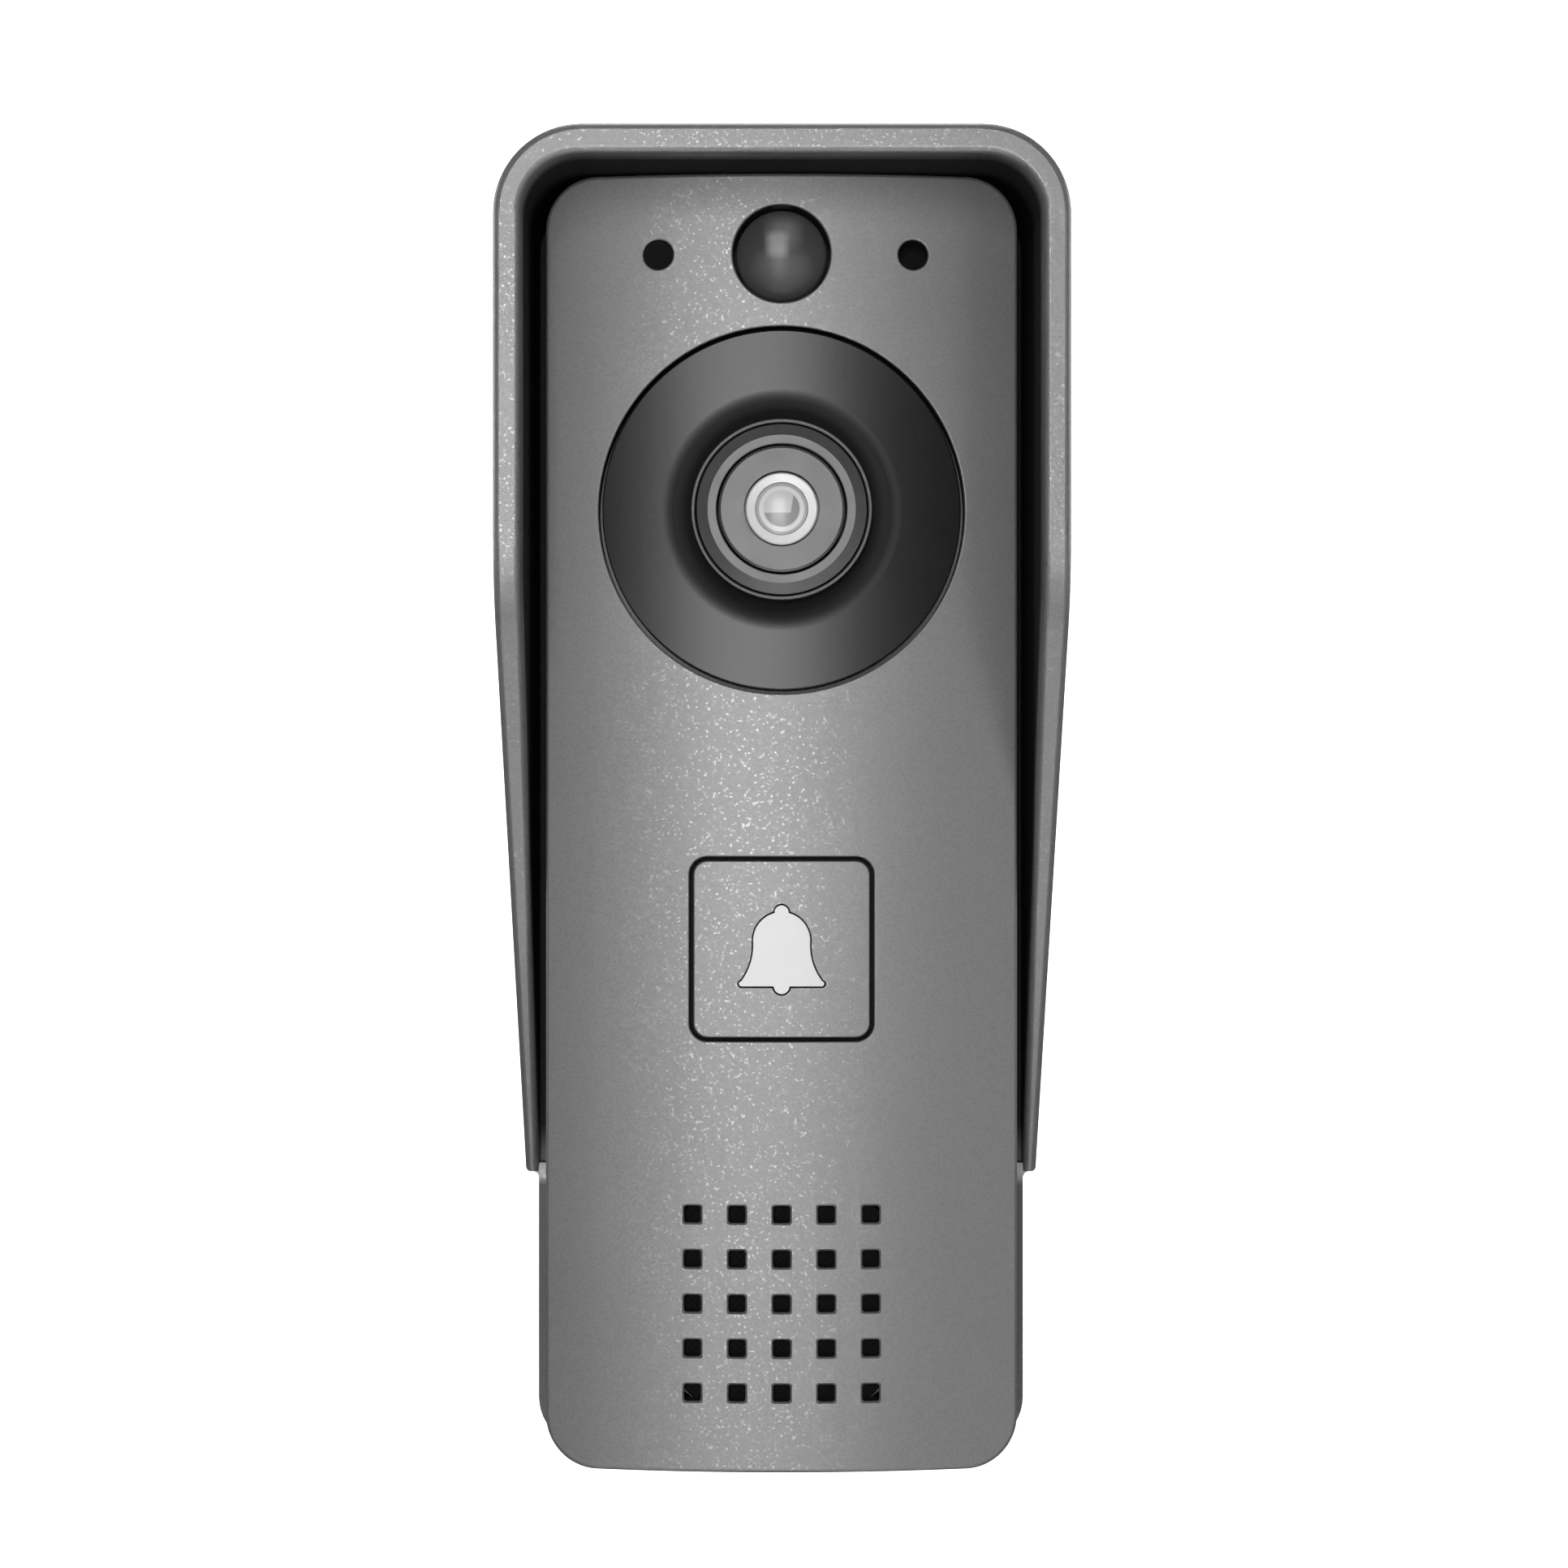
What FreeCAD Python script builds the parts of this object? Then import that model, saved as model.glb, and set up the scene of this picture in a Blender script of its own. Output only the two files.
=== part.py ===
import FreeCAD, Part

import math
import os

# Wall-mounted video doorbell: a crowned front plate on a sealed housing, under a rain hood.
# Millimetres. +Z is up and the wall is the plane y = 0. The unit stands out towards -Y, so every
# depth below is measured forward from the wall and lies at y = -depth. The origin is on the wall,
# level with the middle of the front plate.

Vector = FreeCAD.Vector

# ---------------------------------------------------------------- driving dimensions
# Front plate: a painted cover with a crowned face and a rim behind it
plate_width = 52.0
plate_height = 142.1
plate_corner = 5.7
plate_edge_depth = 24.0
plate_crown = 2.64
plate_skin = 2.0
plate_rim_wall = 2.4
plate_rim_height = 3.5
plate_edge_round = 0.45
hole_edge_round = 0.18

# Rain hood: roof and side arms in one piece with the back plate and its shallow tray
hood_overhang = 16.0
hood_side_gap = 1.15
hood_side_wall = 3.0
hood_top_wall = 3.17
hood_lip_drop = 1.22
hood_corner = 9.3
hood_roof_slope = math.radians(5.5)
hood_rear_wall = 1.57
hood_kink_drop = 46.1
hood_kink_round = 20.0
hood_arm_end_rise = 29.65
hood_arm_end_depth = 4.2
hood_rim_round = 0.75
hood_arm_corner = 0.6
hood_arm_blend = 0.8
back_thickness = 2.0
tray_side_reach = 2.6
tray_drop = 2.95
tray_depth = 4.0
tray_wall = 1.6
tray_corner = 6.0

# Fixing to the wall and the cable outlet
wall_screw_spacing = 60.0
wall_screw_hole = 2.25
wall_screw_head = 4.2
wall_screw_sink = 0.9
outlet_radius = 7.0
outlet_below_terminals = 11.5
grommet_bore = 5.0
grommet_flange = 8.6
grommet_flange_height = 1.0

# Hook at the top of the back plate and security tab at its foot
hook_half_width = 8.0
hook_drop = 16.8
hook_stem = 2.0
hook_overlap = 2.0
hook_lip = 1.6
hook_clearance = 0.3
hook_pocket_wall = 1.2
tab_half_width = 7.0
tab_thickness = 2.0
tab_depth = 12.0
security_screw_depth = 8.0

# Rear housing
housing_inset = 0.5
housing_wall = 2.2
housing_floor = 2.0
seal_width = 1.0
seal_height = 0.8
seal_from_outside = 0.5
boss_radius = 3.0
boss_sleeve = 0.4
boss_front_depth = 12.0
foot_boss_half_width = 5.0
foot_boss_height = 11.0

# Screws: shank radius, head radius, head height, length under the head
housing_screw = (1.1, 2.1, 1.6, 12.0)
board_screw = (0.95, 1.7, 1.2, 5.5)
camera_screw = (0.75, 1.4, 1.0, 4.5)
frame_screw = (0.75, 1.5, 1.1, 4.0)
speaker_screw = (0.95, 1.8, 1.2, 3.4)
housing_screw_sink = 3.04
security_screw_shank = 1.5
security_screw_head = 2.75
security_screw_sink = 1.6
insert_radius = 2.3
insert_length = 5.0
thread_clearance = 0.05
hole_clearance = 0.25
socket_radius = 0.7
socket_floor = 0.4
pilot_floor = 1.0
speaker_pilot_floor = 0.5

# Presence sensor, light window and microphone along the top
sensor_row_drop = 8.81
pir_hole = 5.36
pir_gap = 0.42
pir_dome_rise = 1.9
pir_proud = 0.5
pir_shell = 1.0
pir_flange_margin = 0.84
pir_flange_setback = 6.04
pir_flange_thickness = 1.2
pir_can_radius = 4.1
pir_can_height = 4.2
pir_can_setback = 11.64
pir_base_radius = 4.6
pir_base_height = 0.6
pir_pin_ring = 2.0
pin_radius = 0.25
small_port = 1.63
light_port_x = -13.5
mic_port_x = 14.4
light_pipe_clearance = 0.05
light_pipe_recess = 0.5
light_boss_radius = 3.0
light_boss_setback = 7.64
light_shoulder = 1.2
light_pipe_gap = 0.5
photocell_half = 1.5
photocell_height = 1.5
mic_boss_radius = 4.4
mic_boss_setback = 8.64
mic_boot_radius = 3.25
mic_boot_setback = 11.04
mic_mesh_setback = 4.04
mic_mesh_thickness = 0.2
mic_capsule_radius = 2.0
mic_capsule_height = 2.6
mic_pin_offset = 1.0
mic_boot_nose = 1.8
mic_port_radius = 1.0

# Camera opening and the bezel that fills it; setbacks are measured behind the crest of the face
camera_drop = 36.83
camera_hole = 20.1
bezel_gap = 0.4
bezel_flange_margin = 1.1
bezel_flange_thickness = 1.2
bezel_setback = 5.44
bezel_ledge_setback = 4.04
bezel_ledge_clearance = 0.53
moat_width = 1.75
moat_depth = 1.2
moat_round = 2.5
post_radius = 2.0
post_clearance = 1.5

# Lens rings, from the barrel's head outwards
barrel_head = 6.87
bevel_clearance = 0.22
bevel_flat = 0.98
bevel_slope = 1.23
bevel_edge_proud = 0.5
bevel_proud = 1.0
bevel_round = 0.12
trim_clearance = 0.17
trim_width = 0.41
trim_proud = 0.62
lens_gap = 0.02

# Lens: barrel, retaining ring, glasses and spacer
barrel_thread = 6.0
barrel_mouth = 4.12
barrel_edge_proud = 0.95
barrel_proud = 1.12
barrel_rim = 0.25
barrel_rim_drop = 0.03
barrel_head_setback = 4.44
barrel_rear_setback = 7.74
barrel_rear_bore = 2.6
retainer_clearance = 0.18
retainer_width = 1.04
retainer_proud = 1.17
retainer_height = 1.5
retainer_chamfer = (0.15, 0.1)
retainer_slope = 0.12
front_lens_rise = 0.45
front_lens_proud = 0.1
front_lens_thickness = 1.2
spacer_inner = 2.05
spacer_height = 1.6
rear_lens_radius = 3.3
rear_lens_thickness = 1.4
rear_lens_curve = 6.6
rear_lens_hollow = 0.5

# Camera electronics
camera_board_setback = 11.64
camera_board_thickness = 1.2
holder_wall = 2.4
holder_foot = 1.1
holder_base = 2.2
holder_setback = 5.64
holder_cavity = 5.2
holder_cavity_height = 1.4
holder_aperture = 3.6
holder_aperture_height = 0.4
filter_half = 4.0
filter_thickness = 0.4
sensor_half_width = 3.6
sensor_half_height = 2.8
sensor_thickness = 0.8
ir_board_clearance = 0.585
ir_board_thickness = 1.0
ir_led_offset = 4.0
ir_led_count = 8
ir_led_radius = 1.4
ir_led_height = 1.5
header_half_width = 1.2
header_half_height = 3.8

# Call button
key_below_camera = 48.0
key_opening = 20.2
key_opening_corner = 2.0
key_gap = 0.44
key_flange_margin = 0.9
key_flange_clearance = 0.1
key_flange_setback = 4.24
bell_gap = 0.2
guide_disc_margin = 1.66
guide_disc_thickness = 1.2
plunger_radius = 3.0
plunger_gap = 0.05
frame_clearance = 0.3
frame_wall = 1.7
frame_setback = 9.84
frame_floor = 1.2
frame_floor_hole = 4.5
frame_ear_reach = 3.6
frame_ear_radius = 1.9
frame_ear_thickness = 1.5
seal_lip_clearance = 0.1
key_seal_margin = 2.3
key_seal_thickness = 0.6
light_hole_radius = 1.2
light_hole_ring = 6.3
switch_half = 3.1
switch_height = 3.4
switch_stem_radius = 1.7
switch_stem_clearance = 0.05
switch_stem_length = 2.8
switch_stem_proud = 1.55
switch_cup_height = 2.6
backlight_half = 0.9
backlight_height = 0.8

# Bell in the key, about its middle: top of the knob, arcs down the right side, lip and clapper
bell_knob_top = 4.78
bell_arcs = (
    ((0.76, 3.95), (2.36, 2.95), (3.1, 0.88)),
    ((3.1, 0.88), (3.46, -1.75), (4.42, -3.52)),
    ((4.42, -3.52), (4.62, -3.92), (4.35, -4.06)),
)
clapper_half = 0.85
clapper_low = -4.9

# Loudspeaker
speaker_rise = 18.49
grille_count = 5
grille_pitch = 4.88
grille_hole = 1.9
grille_corner = 0.3
speaker_radius = 14.5
mesh_thickness = 0.3
gasket_width = 2.3
speaker_rim_setback = 6.24
speaker_rim_height = 1.2
speaker_rim_width = 1.9
basket_wall = 0.8
basket_rear_radius = 8.0
basket_height = 4.8
basket_window = 5.2
cone_thickness = 0.3
cone_clearance = 0.3
cone_edge_drop = 0.6
cone_roll_width = 1.6
cone_roll_drop = 0.3
cone_drop = 2.6
cone_neck = 0.5
cone_dome_radius = 4.0
cone_dome_shoulder = 1.9
cone_dome_drop = 1.7
coil_radius = 4.3
coil_wall = 0.3
coil_tail = 1.8
magnet_radius = 6.6
magnet_height = 3.6
magnet_yoke = 1.0
magnet_gap = 0.4
clamp_overhang = 0.9
clamp_thickness = 1.2
clamp_clearance = 0.1
clamp_ear_x = 18.6
clamp_ear_radius = 2.4

# Main board and what it carries
board_rear = 10.6
board_thickness = 1.6
board_corner = 1.5
board_clearance = 0.8
board_speaker_gap = 3.0
board_screw_inset = 3.2
board_upper_screw_rise = 13.0
standoff_radius = 2.4
# Chips: place across, height above the camera's middle, width, height and thickness
processor = (0.0, 0.0, 12.0, 12.0, 1.2)
memory_chip = (-13.0, -8.0, 6.0, 8.0, 1.0)
video_driver = (13.0, -6.0, 5.0, 6.0, 1.2)
# The amplifier is placed above the board's lower edge, and the inductor in from the board screws
amplifier = (13.0, 8.0, 5.0, 5.0, 1.2)
inductor = (1.5, -28.0, 6.0, 6.0, 3.0)
capacitor_inset = 1.5
capacitor_gap = 0.5
capacitor_pitch = 8.0
capacitor_radius = 3.15
capacitor_height = 5.4
terminals_above_key = 9.5
terminal_pitch = 3.81
terminal_count = 4
terminal_end = 0.8
terminal_half_height = 4.0
terminal_depth = 7.0
terminal_screw_radius = 1.3
terminal_screw_rise = 1.0
terminal_screw_sink = 0.4
terminal_screw_length = 3.0
terminal_slot = (0.2, 0.7)
wire_entry_radius = 1.1
wire_entry_depth = 4.6
wire_entry_length = 3.0
pocket_half_width = 14.0
pocket_above = 1.5
pocket_below = 17.0
pocket_wall = 1.5
pocket_board_gap = 0.2

# Captive leads
ribbon_half_width = 4.0
ribbon_thickness = 0.3
ribbon_inset = 1.0
ribbon_run = 8.0
ribbon_socket = (1.2, 2.6, 1.2)
lead_radius = 0.6
lead_x = 8.0
lead_tag_reach = 11.0
lead_tag_half = 2.0
lead_socket = (5.0, 4.0, 3.0)
lead_socket_rise = 3.0
lead_bend_place = 0.3
lead_bend_share = 0.45

# How far a cutter runs past a face, and how near two places are the same
past = 1.0
near = 0.01

# ---------------------------------------------------------------- worked-out places
half_width = plate_width / 2
top = plate_height / 2
bottom = -plate_height / 2
crown_radius = (half_width ** 2 + plate_crown ** 2) / (2 * plate_crown)
front = plate_edge_depth + plate_crown
crown_axis = front - crown_radius
plate_rim_depth = plate_edge_depth - plate_rim_height
hood_depth = plate_edge_depth + hood_overhang

row_z = top - sensor_row_drop
camera_z = top - camera_drop
key_z = camera_z - key_below_camera
speaker_z = bottom + speaker_rise

housing_half = half_width - housing_inset
housing_top = top - housing_inset
housing_inner_half = housing_half - housing_wall
housing_inner_top = housing_top - housing_wall
housing_front = plate_rim_depth
floor_front = back_thickness + housing_floor
boss_x = housing_inner_half - boss_radius
boss_z = housing_inner_top - boss_radius

board_front = board_rear + board_thickness
board_half = housing_inner_half - board_clearance
board_top = housing_inner_top - board_clearance
board_bottom = speaker_z + speaker_radius + board_speaker_gap
board_screw_x = board_half - board_screw_inset
board_screw_rows = (board_bottom + board_screw_inset, camera_z + board_upper_screw_rise)

pir_radius = pir_hole - pir_gap
pir_flange = pir_hole + pir_flange_margin
pir_flange_depth = front - pir_flange_setback
pir_can_depth = front - pir_can_setback
light_boss_depth = front - light_boss_setback
light_pipe_rear = board_front + photocell_height + light_pipe_gap
mic_boss_depth = front - mic_boss_setback
mic_boot_rear = front - mic_boot_setback
mic_mesh_depth = front - mic_mesh_setback

bevel_inner = barrel_head + bevel_clearance
bevel_crest = bevel_inner + bevel_flat
bevel_outer = bevel_crest + bevel_slope
trim_inner = bevel_outer + trim_clearance
trim_outer = trim_inner + trim_width
bezel_bore = trim_outer + lens_gap
moat_radius = bezel_bore + moat_width
bezel_radius = camera_hole - bezel_gap
bezel_flange = camera_hole + bezel_flange_margin
bezel_rear = front - bezel_setback
bezel_ledge_bore = barrel_head + bezel_ledge_clearance
bezel_ledge_depth = front - bezel_ledge_setback
barrel_head_rear = front - barrel_head_setback
barrel_rear = front - barrel_rear_setback
retainer_outer = barrel_mouth - retainer_clearance
retainer_inner = retainer_outer - retainer_width

holder_tube = barrel_thread + holder_wall
holder_half = holder_tube + holder_foot
holder_front = front - holder_setback
post_reach = holder_half + post_radius + post_clearance
camera_board_half = post_reach + post_radius
ir_board_outer = post_reach * math.sqrt(2) - post_radius - ir_board_clearance
ir_led_ring = holder_tube + ir_led_offset
camera_board_rear = front - camera_board_setback
camera_board_front = camera_board_rear + camera_board_thickness
holder_shoulder = camera_board_front + holder_base
aperture_rear = camera_board_front + holder_cavity_height
filter_rear = aperture_rear + holder_aperture_height

key_half = key_opening / 2 - key_gap
key_flange_half = key_opening / 2 + key_flange_margin
key_flange_rear = front - key_flange_setback
frame_inner = key_flange_half + frame_clearance
frame_outer = frame_inner + frame_wall
frame_rear = front - frame_setback
frame_floor_front = frame_rear + frame_floor
guide_disc = key_half - guide_disc_margin
guide_disc_rear = key_flange_rear - guide_disc_thickness
key_seal_outer = frame_inner - key_seal_margin
switch_stem_front = board_front + switch_height + switch_stem_proud
plunger_rear = switch_stem_front + plunger_gap

speaker_rim_depth = front - speaker_rim_setback
speaker_rim_front = speaker_rim_depth + speaker_rim_height
basket_rear_depth = speaker_rim_depth - basket_height
coil_rear = basket_rear_depth - coil_tail
magnet_rear = basket_rear_depth - magnet_height

hook_z = top - hook_drop
terminal_z = key_z + terminals_above_key
outlet_z = terminal_z - outlet_below_terminals
pocket_top = terminal_z + terminal_half_height + pocket_above
pocket_bottom = terminal_z - terminal_half_height - pocket_below
tray_half = half_width + tray_side_reach
tray_bottom = bottom - tray_drop


# ---------------------------------------------------------------- plain shapes
def at(x, depth, z):
    """A point given by its depth in front of the wall."""
    return Vector(x, -depth, z)


def box(x0, x1, rear, fore, z0, z1):
    """A block between two depths."""
    return Part.makeBox(x1 - x0, fore - rear, z1 - z0, at(x0, fore, z0))


def rod(x, z, radius, rear, fore):
    """A round bar that points forward."""
    return Part.makeCylinder(radius, fore - rear, at(x, rear, z), Vector(0, -1, 0))


def tube(x, z, outer, inner, rear, fore):
    """A round pipe that points forward."""
    return rod(x, z, outer, rear, fore).cut(rod(x, z, inner, rear, fore))


def cone(x, z, rear_radius, fore_radius, rear, fore):
    """A taper that points forward."""
    return Part.makeCone(rear_radius, fore_radius, fore - rear, at(x, rear, z), Vector(0, -1, 0))


def turned(x, z, profile):
    """A closed outline of (radius, depth) corners, turned about a line that points forward."""
    corners = [at(x + radius, depth, z) for radius, depth in profile]
    face = Part.Face(Part.makePolygon(corners + corners[:1]))
    return face.revolve(at(x, 0, z), Vector(0, 1, 0), 360)


def rounded_wire(x0, x1, z0, z1, radius, depth):
    """A rounded rectangle that faces forward."""
    centres = (
        (x1 - radius, z1 - radius),
        (x0 + radius, z1 - radius),
        (x0 + radius, z0 + radius),
        (x1 - radius, z0 + radius),
    )
    arcs = []
    for quarter, (cx, cz) in enumerate(centres):
        turns = [math.radians(90 * quarter + step) for step in (0, 45, 90)]
        points = [at(cx + radius * math.cos(a), depth, cz + radius * math.sin(a)) for a in turns]
        arcs.append(points)
    edges = []
    for here, after in zip(arcs, arcs[1:] + arcs[:1]):
        edges.append(Part.Arc(*here).toShape())
        edges.append(Part.makeLine(here[2], after[0]))
    return Part.Wire(edges)


def slab(x0, x1, z0, z1, radius, rear, fore):
    """A block with four rounded corners, seen from the front."""
    wire = rounded_wire(x0, x1, z0, z1, radius, rear)
    return Part.Face(wire).extrude(at(0, fore - rear, 0))


def crowned(below):
    """Everything behind the crowned face, or behind a face that lies some way below it."""
    reach = plate_height
    return Part.makeCylinder(crown_radius - below, 2 * reach, at(0, crown_axis, -reach))


def crown_depth(x, below=0.0):
    """Depth of the crowned face, or of a face below it, at one place across the width."""
    return crown_axis + math.sqrt((crown_radius - below) ** 2 - x ** 2)


def fused(shapes):
    """One clean solid from several that touch."""
    first = shapes[0]
    return first.fuse(shapes[1:]).removeSplitter()


def group(shapes):
    """Separate solids in one node."""
    return Part.makeCompound(shapes)


def screw(x, z, sizes, seat, forward=True):
    """A pan-head screw with its head on a seat, driven forward or backward, with a round socket."""
    shank, head, height, length = sizes
    way = 1 if forward else -1
    spans = sorted((seat, seat - way * height))
    body = rod(x, z, head, *spans)
    body = body.fuse(rod(x, z, shank, *sorted((seat, seat + way * length)))).removeSplitter()
    socket_end = seat - way * height * socket_floor
    return body.cut(rod(x, z, socket_radius, *sorted((seat - way * height, socket_end))))


def four_corners(x, z_values):
    """Places mirrored left and right at each height."""
    return [(side * x, z) for side in (-1, 1) for z in z_values]


def screw_holes(shape, places, radius, rear, fore):
    """The shape with a round hole at each place."""
    return shape.cut(group([rod(x, z, radius, rear, fore) for x, z in places]))


# ---------------------------------------------------------------- rain hood
def hood_front_profile():
    """Side view of the hood: roof edge, upright front, rounded kink, then a slope to the arm ends."""
    kink_z = top - hood_kink_drop
    arm_z = bottom + hood_arm_end_rise
    run = Vector(0, hood_depth - hood_arm_end_depth, arm_z - kink_z)
    down = run.normalize()
    bend = math.acos(-down.z)
    tangent = hood_kink_round * math.tan(bend / 2)
    kink = at(0, hood_depth, kink_z)
    start = kink + Vector(0, 0, tangent)
    end = kink + down * tangent
    centre = start + Vector(0, hood_kink_round, 0)
    middle = centre + (kink - centre).normalize() * hood_kink_round
    tip = at(0, hood_arm_end_depth, arm_z) + down
    high = top + hood_depth
    before = [at(0, 0, tip.z), at(0, 0, high), at(0, hood_depth, high), start]
    edges = [Part.makeLine(a, b) for a, b in zip(before, before[1:])]
    edges.append(Part.Arc(start, middle, end).toShape())
    edges.append(Part.makeLine(end, tip))
    edges.append(Part.makeLine(tip, before[0]))
    return Part.Wire(edges)


def hood_lip(spread, lift, corner, depth):
    """Outline of the hood at one depth: the roof rises towards the wall."""
    back = hood_depth - depth
    z1 = top - hood_lip_drop + lift + back * math.tan(hood_roof_slope)
    reach = half_width + hood_side_gap + spread
    return rounded_wire(-reach, reach, bottom - 3 * tray_drop, z1, corner, depth)


def on_hood_front(edge, profile):
    """Whether an edge runs along the rim, and not straight across the front."""
    middle = edge.valueAt((edge.FirstParameter + edge.LastParameter) / 2)
    across = edge.BoundBox.YLength < near and edge.BoundBox.ZLength < near
    low = edge.BoundBox.ZMin < top - hood_kink_drop + hood_kink_round
    spot = Part.Vertex(Vector(0, middle.y, middle.z))
    return spot.distToShape(profile)[0] < near and not (across and low)


def rain_hood():
    outline = hood_front_profile()
    reach = half_width + hood_side_gap + hood_side_wall
    front_edges = Part.Wire(outline.Edges[2:5])
    body = Part.Face(outline).extrude(Vector(2 * (reach + past), 0, 0))
    body.translate(Vector(-reach - past, 0, 0))
    outer = Part.makeLoft(
        [hood_lip(hood_side_wall, hood_top_wall, hood_corner, depth) for depth in (0, hood_depth)],
        True, True)
    body = body.common(outer)
    body = body.makeFillet(hood_rim_round, [e for e in body.Edges if on_hood_front(e, front_edges)])
    known = [e.CenterOfMass for e in body.Edges]
    lip_corner = hood_corner - hood_top_wall
    cavity = Part.makeLoft(
        [hood_lip(hood_side_wall - hood_rear_wall, 0, lip_corner, back_thickness),
         hood_lip(0, 0, lip_corner, hood_depth)], True, True)
    body = body.cut(cavity)
    rim = [e for e in body.Edges if on_hood_front(e, front_edges)
           and min((e.CenterOfMass - other).Length for other in known) > near]
    body = body.makeFillet(hood_rim_round, rim)
    arm_z = bottom + hood_arm_end_rise
    body = body.common(slab(-reach, reach, arm_z, 2 * top, hood_arm_corner, 0, hood_depth))

    # the shallow tray below the arms, one with the back plate
    tray_top = arm_z + 2 * tray_corner
    tray = slab(-tray_half, tray_half, tray_bottom, tray_top, tray_corner, 0, tray_depth)
    tray = tray.cut(box(-tray_half, tray_half, 0, tray_depth, arm_z + past, tray_top))
    gussets = []
    for side in (-1, 1):
        inside, outside = sorted((side * tray_half, side * (tray_half + hood_arm_blend)))
        block = box(inside, outside, 0, tray_depth, arm_z - hood_arm_blend, arm_z)
        gussets.append(block.cut(rod(side * (tray_half + hood_arm_blend), arm_z - hood_arm_blend,
                                     hood_arm_blend, 0, tray_depth)))
    body = fused([body, tray] + gussets)
    well_half = tray_half - tray_wall
    well_corner = tray_corner - tray_wall
    well = slab(-well_half, well_half, tray_bottom + tray_wall, tray_top, well_corner,
                back_thickness, tray_depth + past)
    body = body.cut(well)

    # security tab at the foot, with a countersunk hole
    tab_top = tray_bottom + tab_thickness
    tab = box(-tab_half_width, tab_half_width, back_thickness / 2, tab_depth, tray_bottom, tab_top)
    tab = tab.makeFillet(tab_thickness, [e for e in tab.Edges if e.BoundBox.ZLength > near
                                         and abs(e.CenterOfMass.y + tab_depth) < near])
    hole = Part.makeCylinder(security_screw_shank + hole_clearance, 2 * tab_thickness,
                             at(0, security_screw_depth, tray_bottom - past))
    sink = Part.makeCone(security_screw_head, security_screw_shank, security_screw_sink,
                         at(0, security_screw_depth, tray_bottom))
    body = fused([body, tab]).cut(hole).cut(sink)

    # hook that holds the top of the housing
    lip_rear = floor_front + hook_clearance
    stem = box(-hook_half_width, hook_half_width, back_thickness / 2, lip_rear + hook_lip,
               hook_z - hook_stem, hook_z)
    lip = box(-hook_half_width, hook_half_width, lip_rear, lip_rear + hook_lip,
              hook_z - hook_stem - hook_overlap, hook_z)
    body = fused([body, stem, lip])

    # countersunk wall screw holes on the centre line, and the cable outlet
    for side in (-1, 1):
        z = side * wall_screw_spacing / 2
        body = body.cut(rod(0, z, wall_screw_hole, -past, back_thickness + past))
        body = body.cut(cone(0, z, wall_screw_hole, wall_screw_head,
                             back_thickness - wall_screw_sink, back_thickness))
    return body.cut(rod(0, outlet_z, outlet_radius, -past, back_thickness + past))


def cable_grommet():
    flange_front = back_thickness + grommet_flange_height
    grommet = fused([
        rod(0, outlet_z, outlet_radius, 0, back_thickness),
        rod(0, outlet_z, grommet_flange, back_thickness, flange_front),
    ])
    return grommet.cut(rod(0, outlet_z, grommet_bore, 0, flange_front))


def security_screw():
    """Countersunk screw that enters the foot of the housing from below."""
    length = tab_thickness + insert_length
    axis = at(0, security_screw_depth, tray_bottom)
    shank = Part.makeCylinder(security_screw_shank, length, axis)
    head = Part.makeCone(security_screw_head, security_screw_shank, security_screw_sink, axis)
    socket = Part.makeCylinder(socket_radius, security_screw_sink / 2, axis)
    return fused([shank, head]).cut(socket)


def brass_insert():
    """Threaded insert in the foot of the housing."""
    base = at(0, security_screw_depth, foot_bottom())
    outside = Part.makeCylinder(insert_radius, insert_length, base)
    bore = Part.makeCylinder(security_screw_shank + thread_clearance, insert_length, base)
    return outside.cut(bore)


def foot_bottom():
    """Underside of the housing's foot, just above the security tab."""
    return tray_bottom + tab_thickness + hook_clearance


# ---------------------------------------------------------------- front plate
def plate_bosses():
    """Posts behind the skin: four for the housing screws, two for the key frame, two for the speaker,
    and the collars of the light window and the microphone."""
    posts = []
    for x, z in four_corners(boss_x, (-boss_z, boss_z)):
        posts.append((x, z, boss_radius, boss_front_depth))
    for side in (-1, 1):
        posts.append((side * frame_screw_x(), key_z, frame_ear_radius,
                      frame_floor_front + frame_ear_thickness))
        posts.append((side * clamp_ear_x, speaker_z, clamp_ear_radius, speaker_rim_depth))
    posts.append((light_port_x, row_z, light_boss_radius, light_boss_depth))
    posts.append((mic_port_x, row_z, mic_boss_radius, mic_boss_depth))
    return posts


def frame_screw_x():
    """Where the key frame's two screws stand to each side."""
    return frame_outer + frame_ear_reach - frame_ear_radius / 2


def grille_places():
    """Centres of the speaker slots."""
    steps = [(i - (grille_count - 1) / 2) * grille_pitch for i in range(grille_count)]
    return [(x, speaker_z + z) for x in steps for z in steps]


def square_hole(x, z, size, corner):
    """Cutter for a rounded square hole through the skin."""
    half = size / 2
    return slab(x - half, x + half, z - half, z + half, corner, plate_rim_depth, front + past)


def grille_slot(x, z):
    """Cutter for one speaker slot, with a mouth that opens square to the crowned face."""
    flare = hole_edge_round
    face = crown_depth(x)
    wires = []
    for half, depth in ((grille_hole / 2, face - flare), (grille_hole / 2 + 2 * flare, face + flare)):
        wires.append(rounded_wire(x - half, x + half, z - half, z + half, grille_corner, depth))
    mouth = Part.makeLoft(wires, True, True)
    mouth.rotate(at(x, face, z), Vector(0, 0, 1), math.degrees(math.asin(x / crown_radius)))
    return square_hole(x, z, grille_hole, grille_corner).fuse(mouth)


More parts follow.
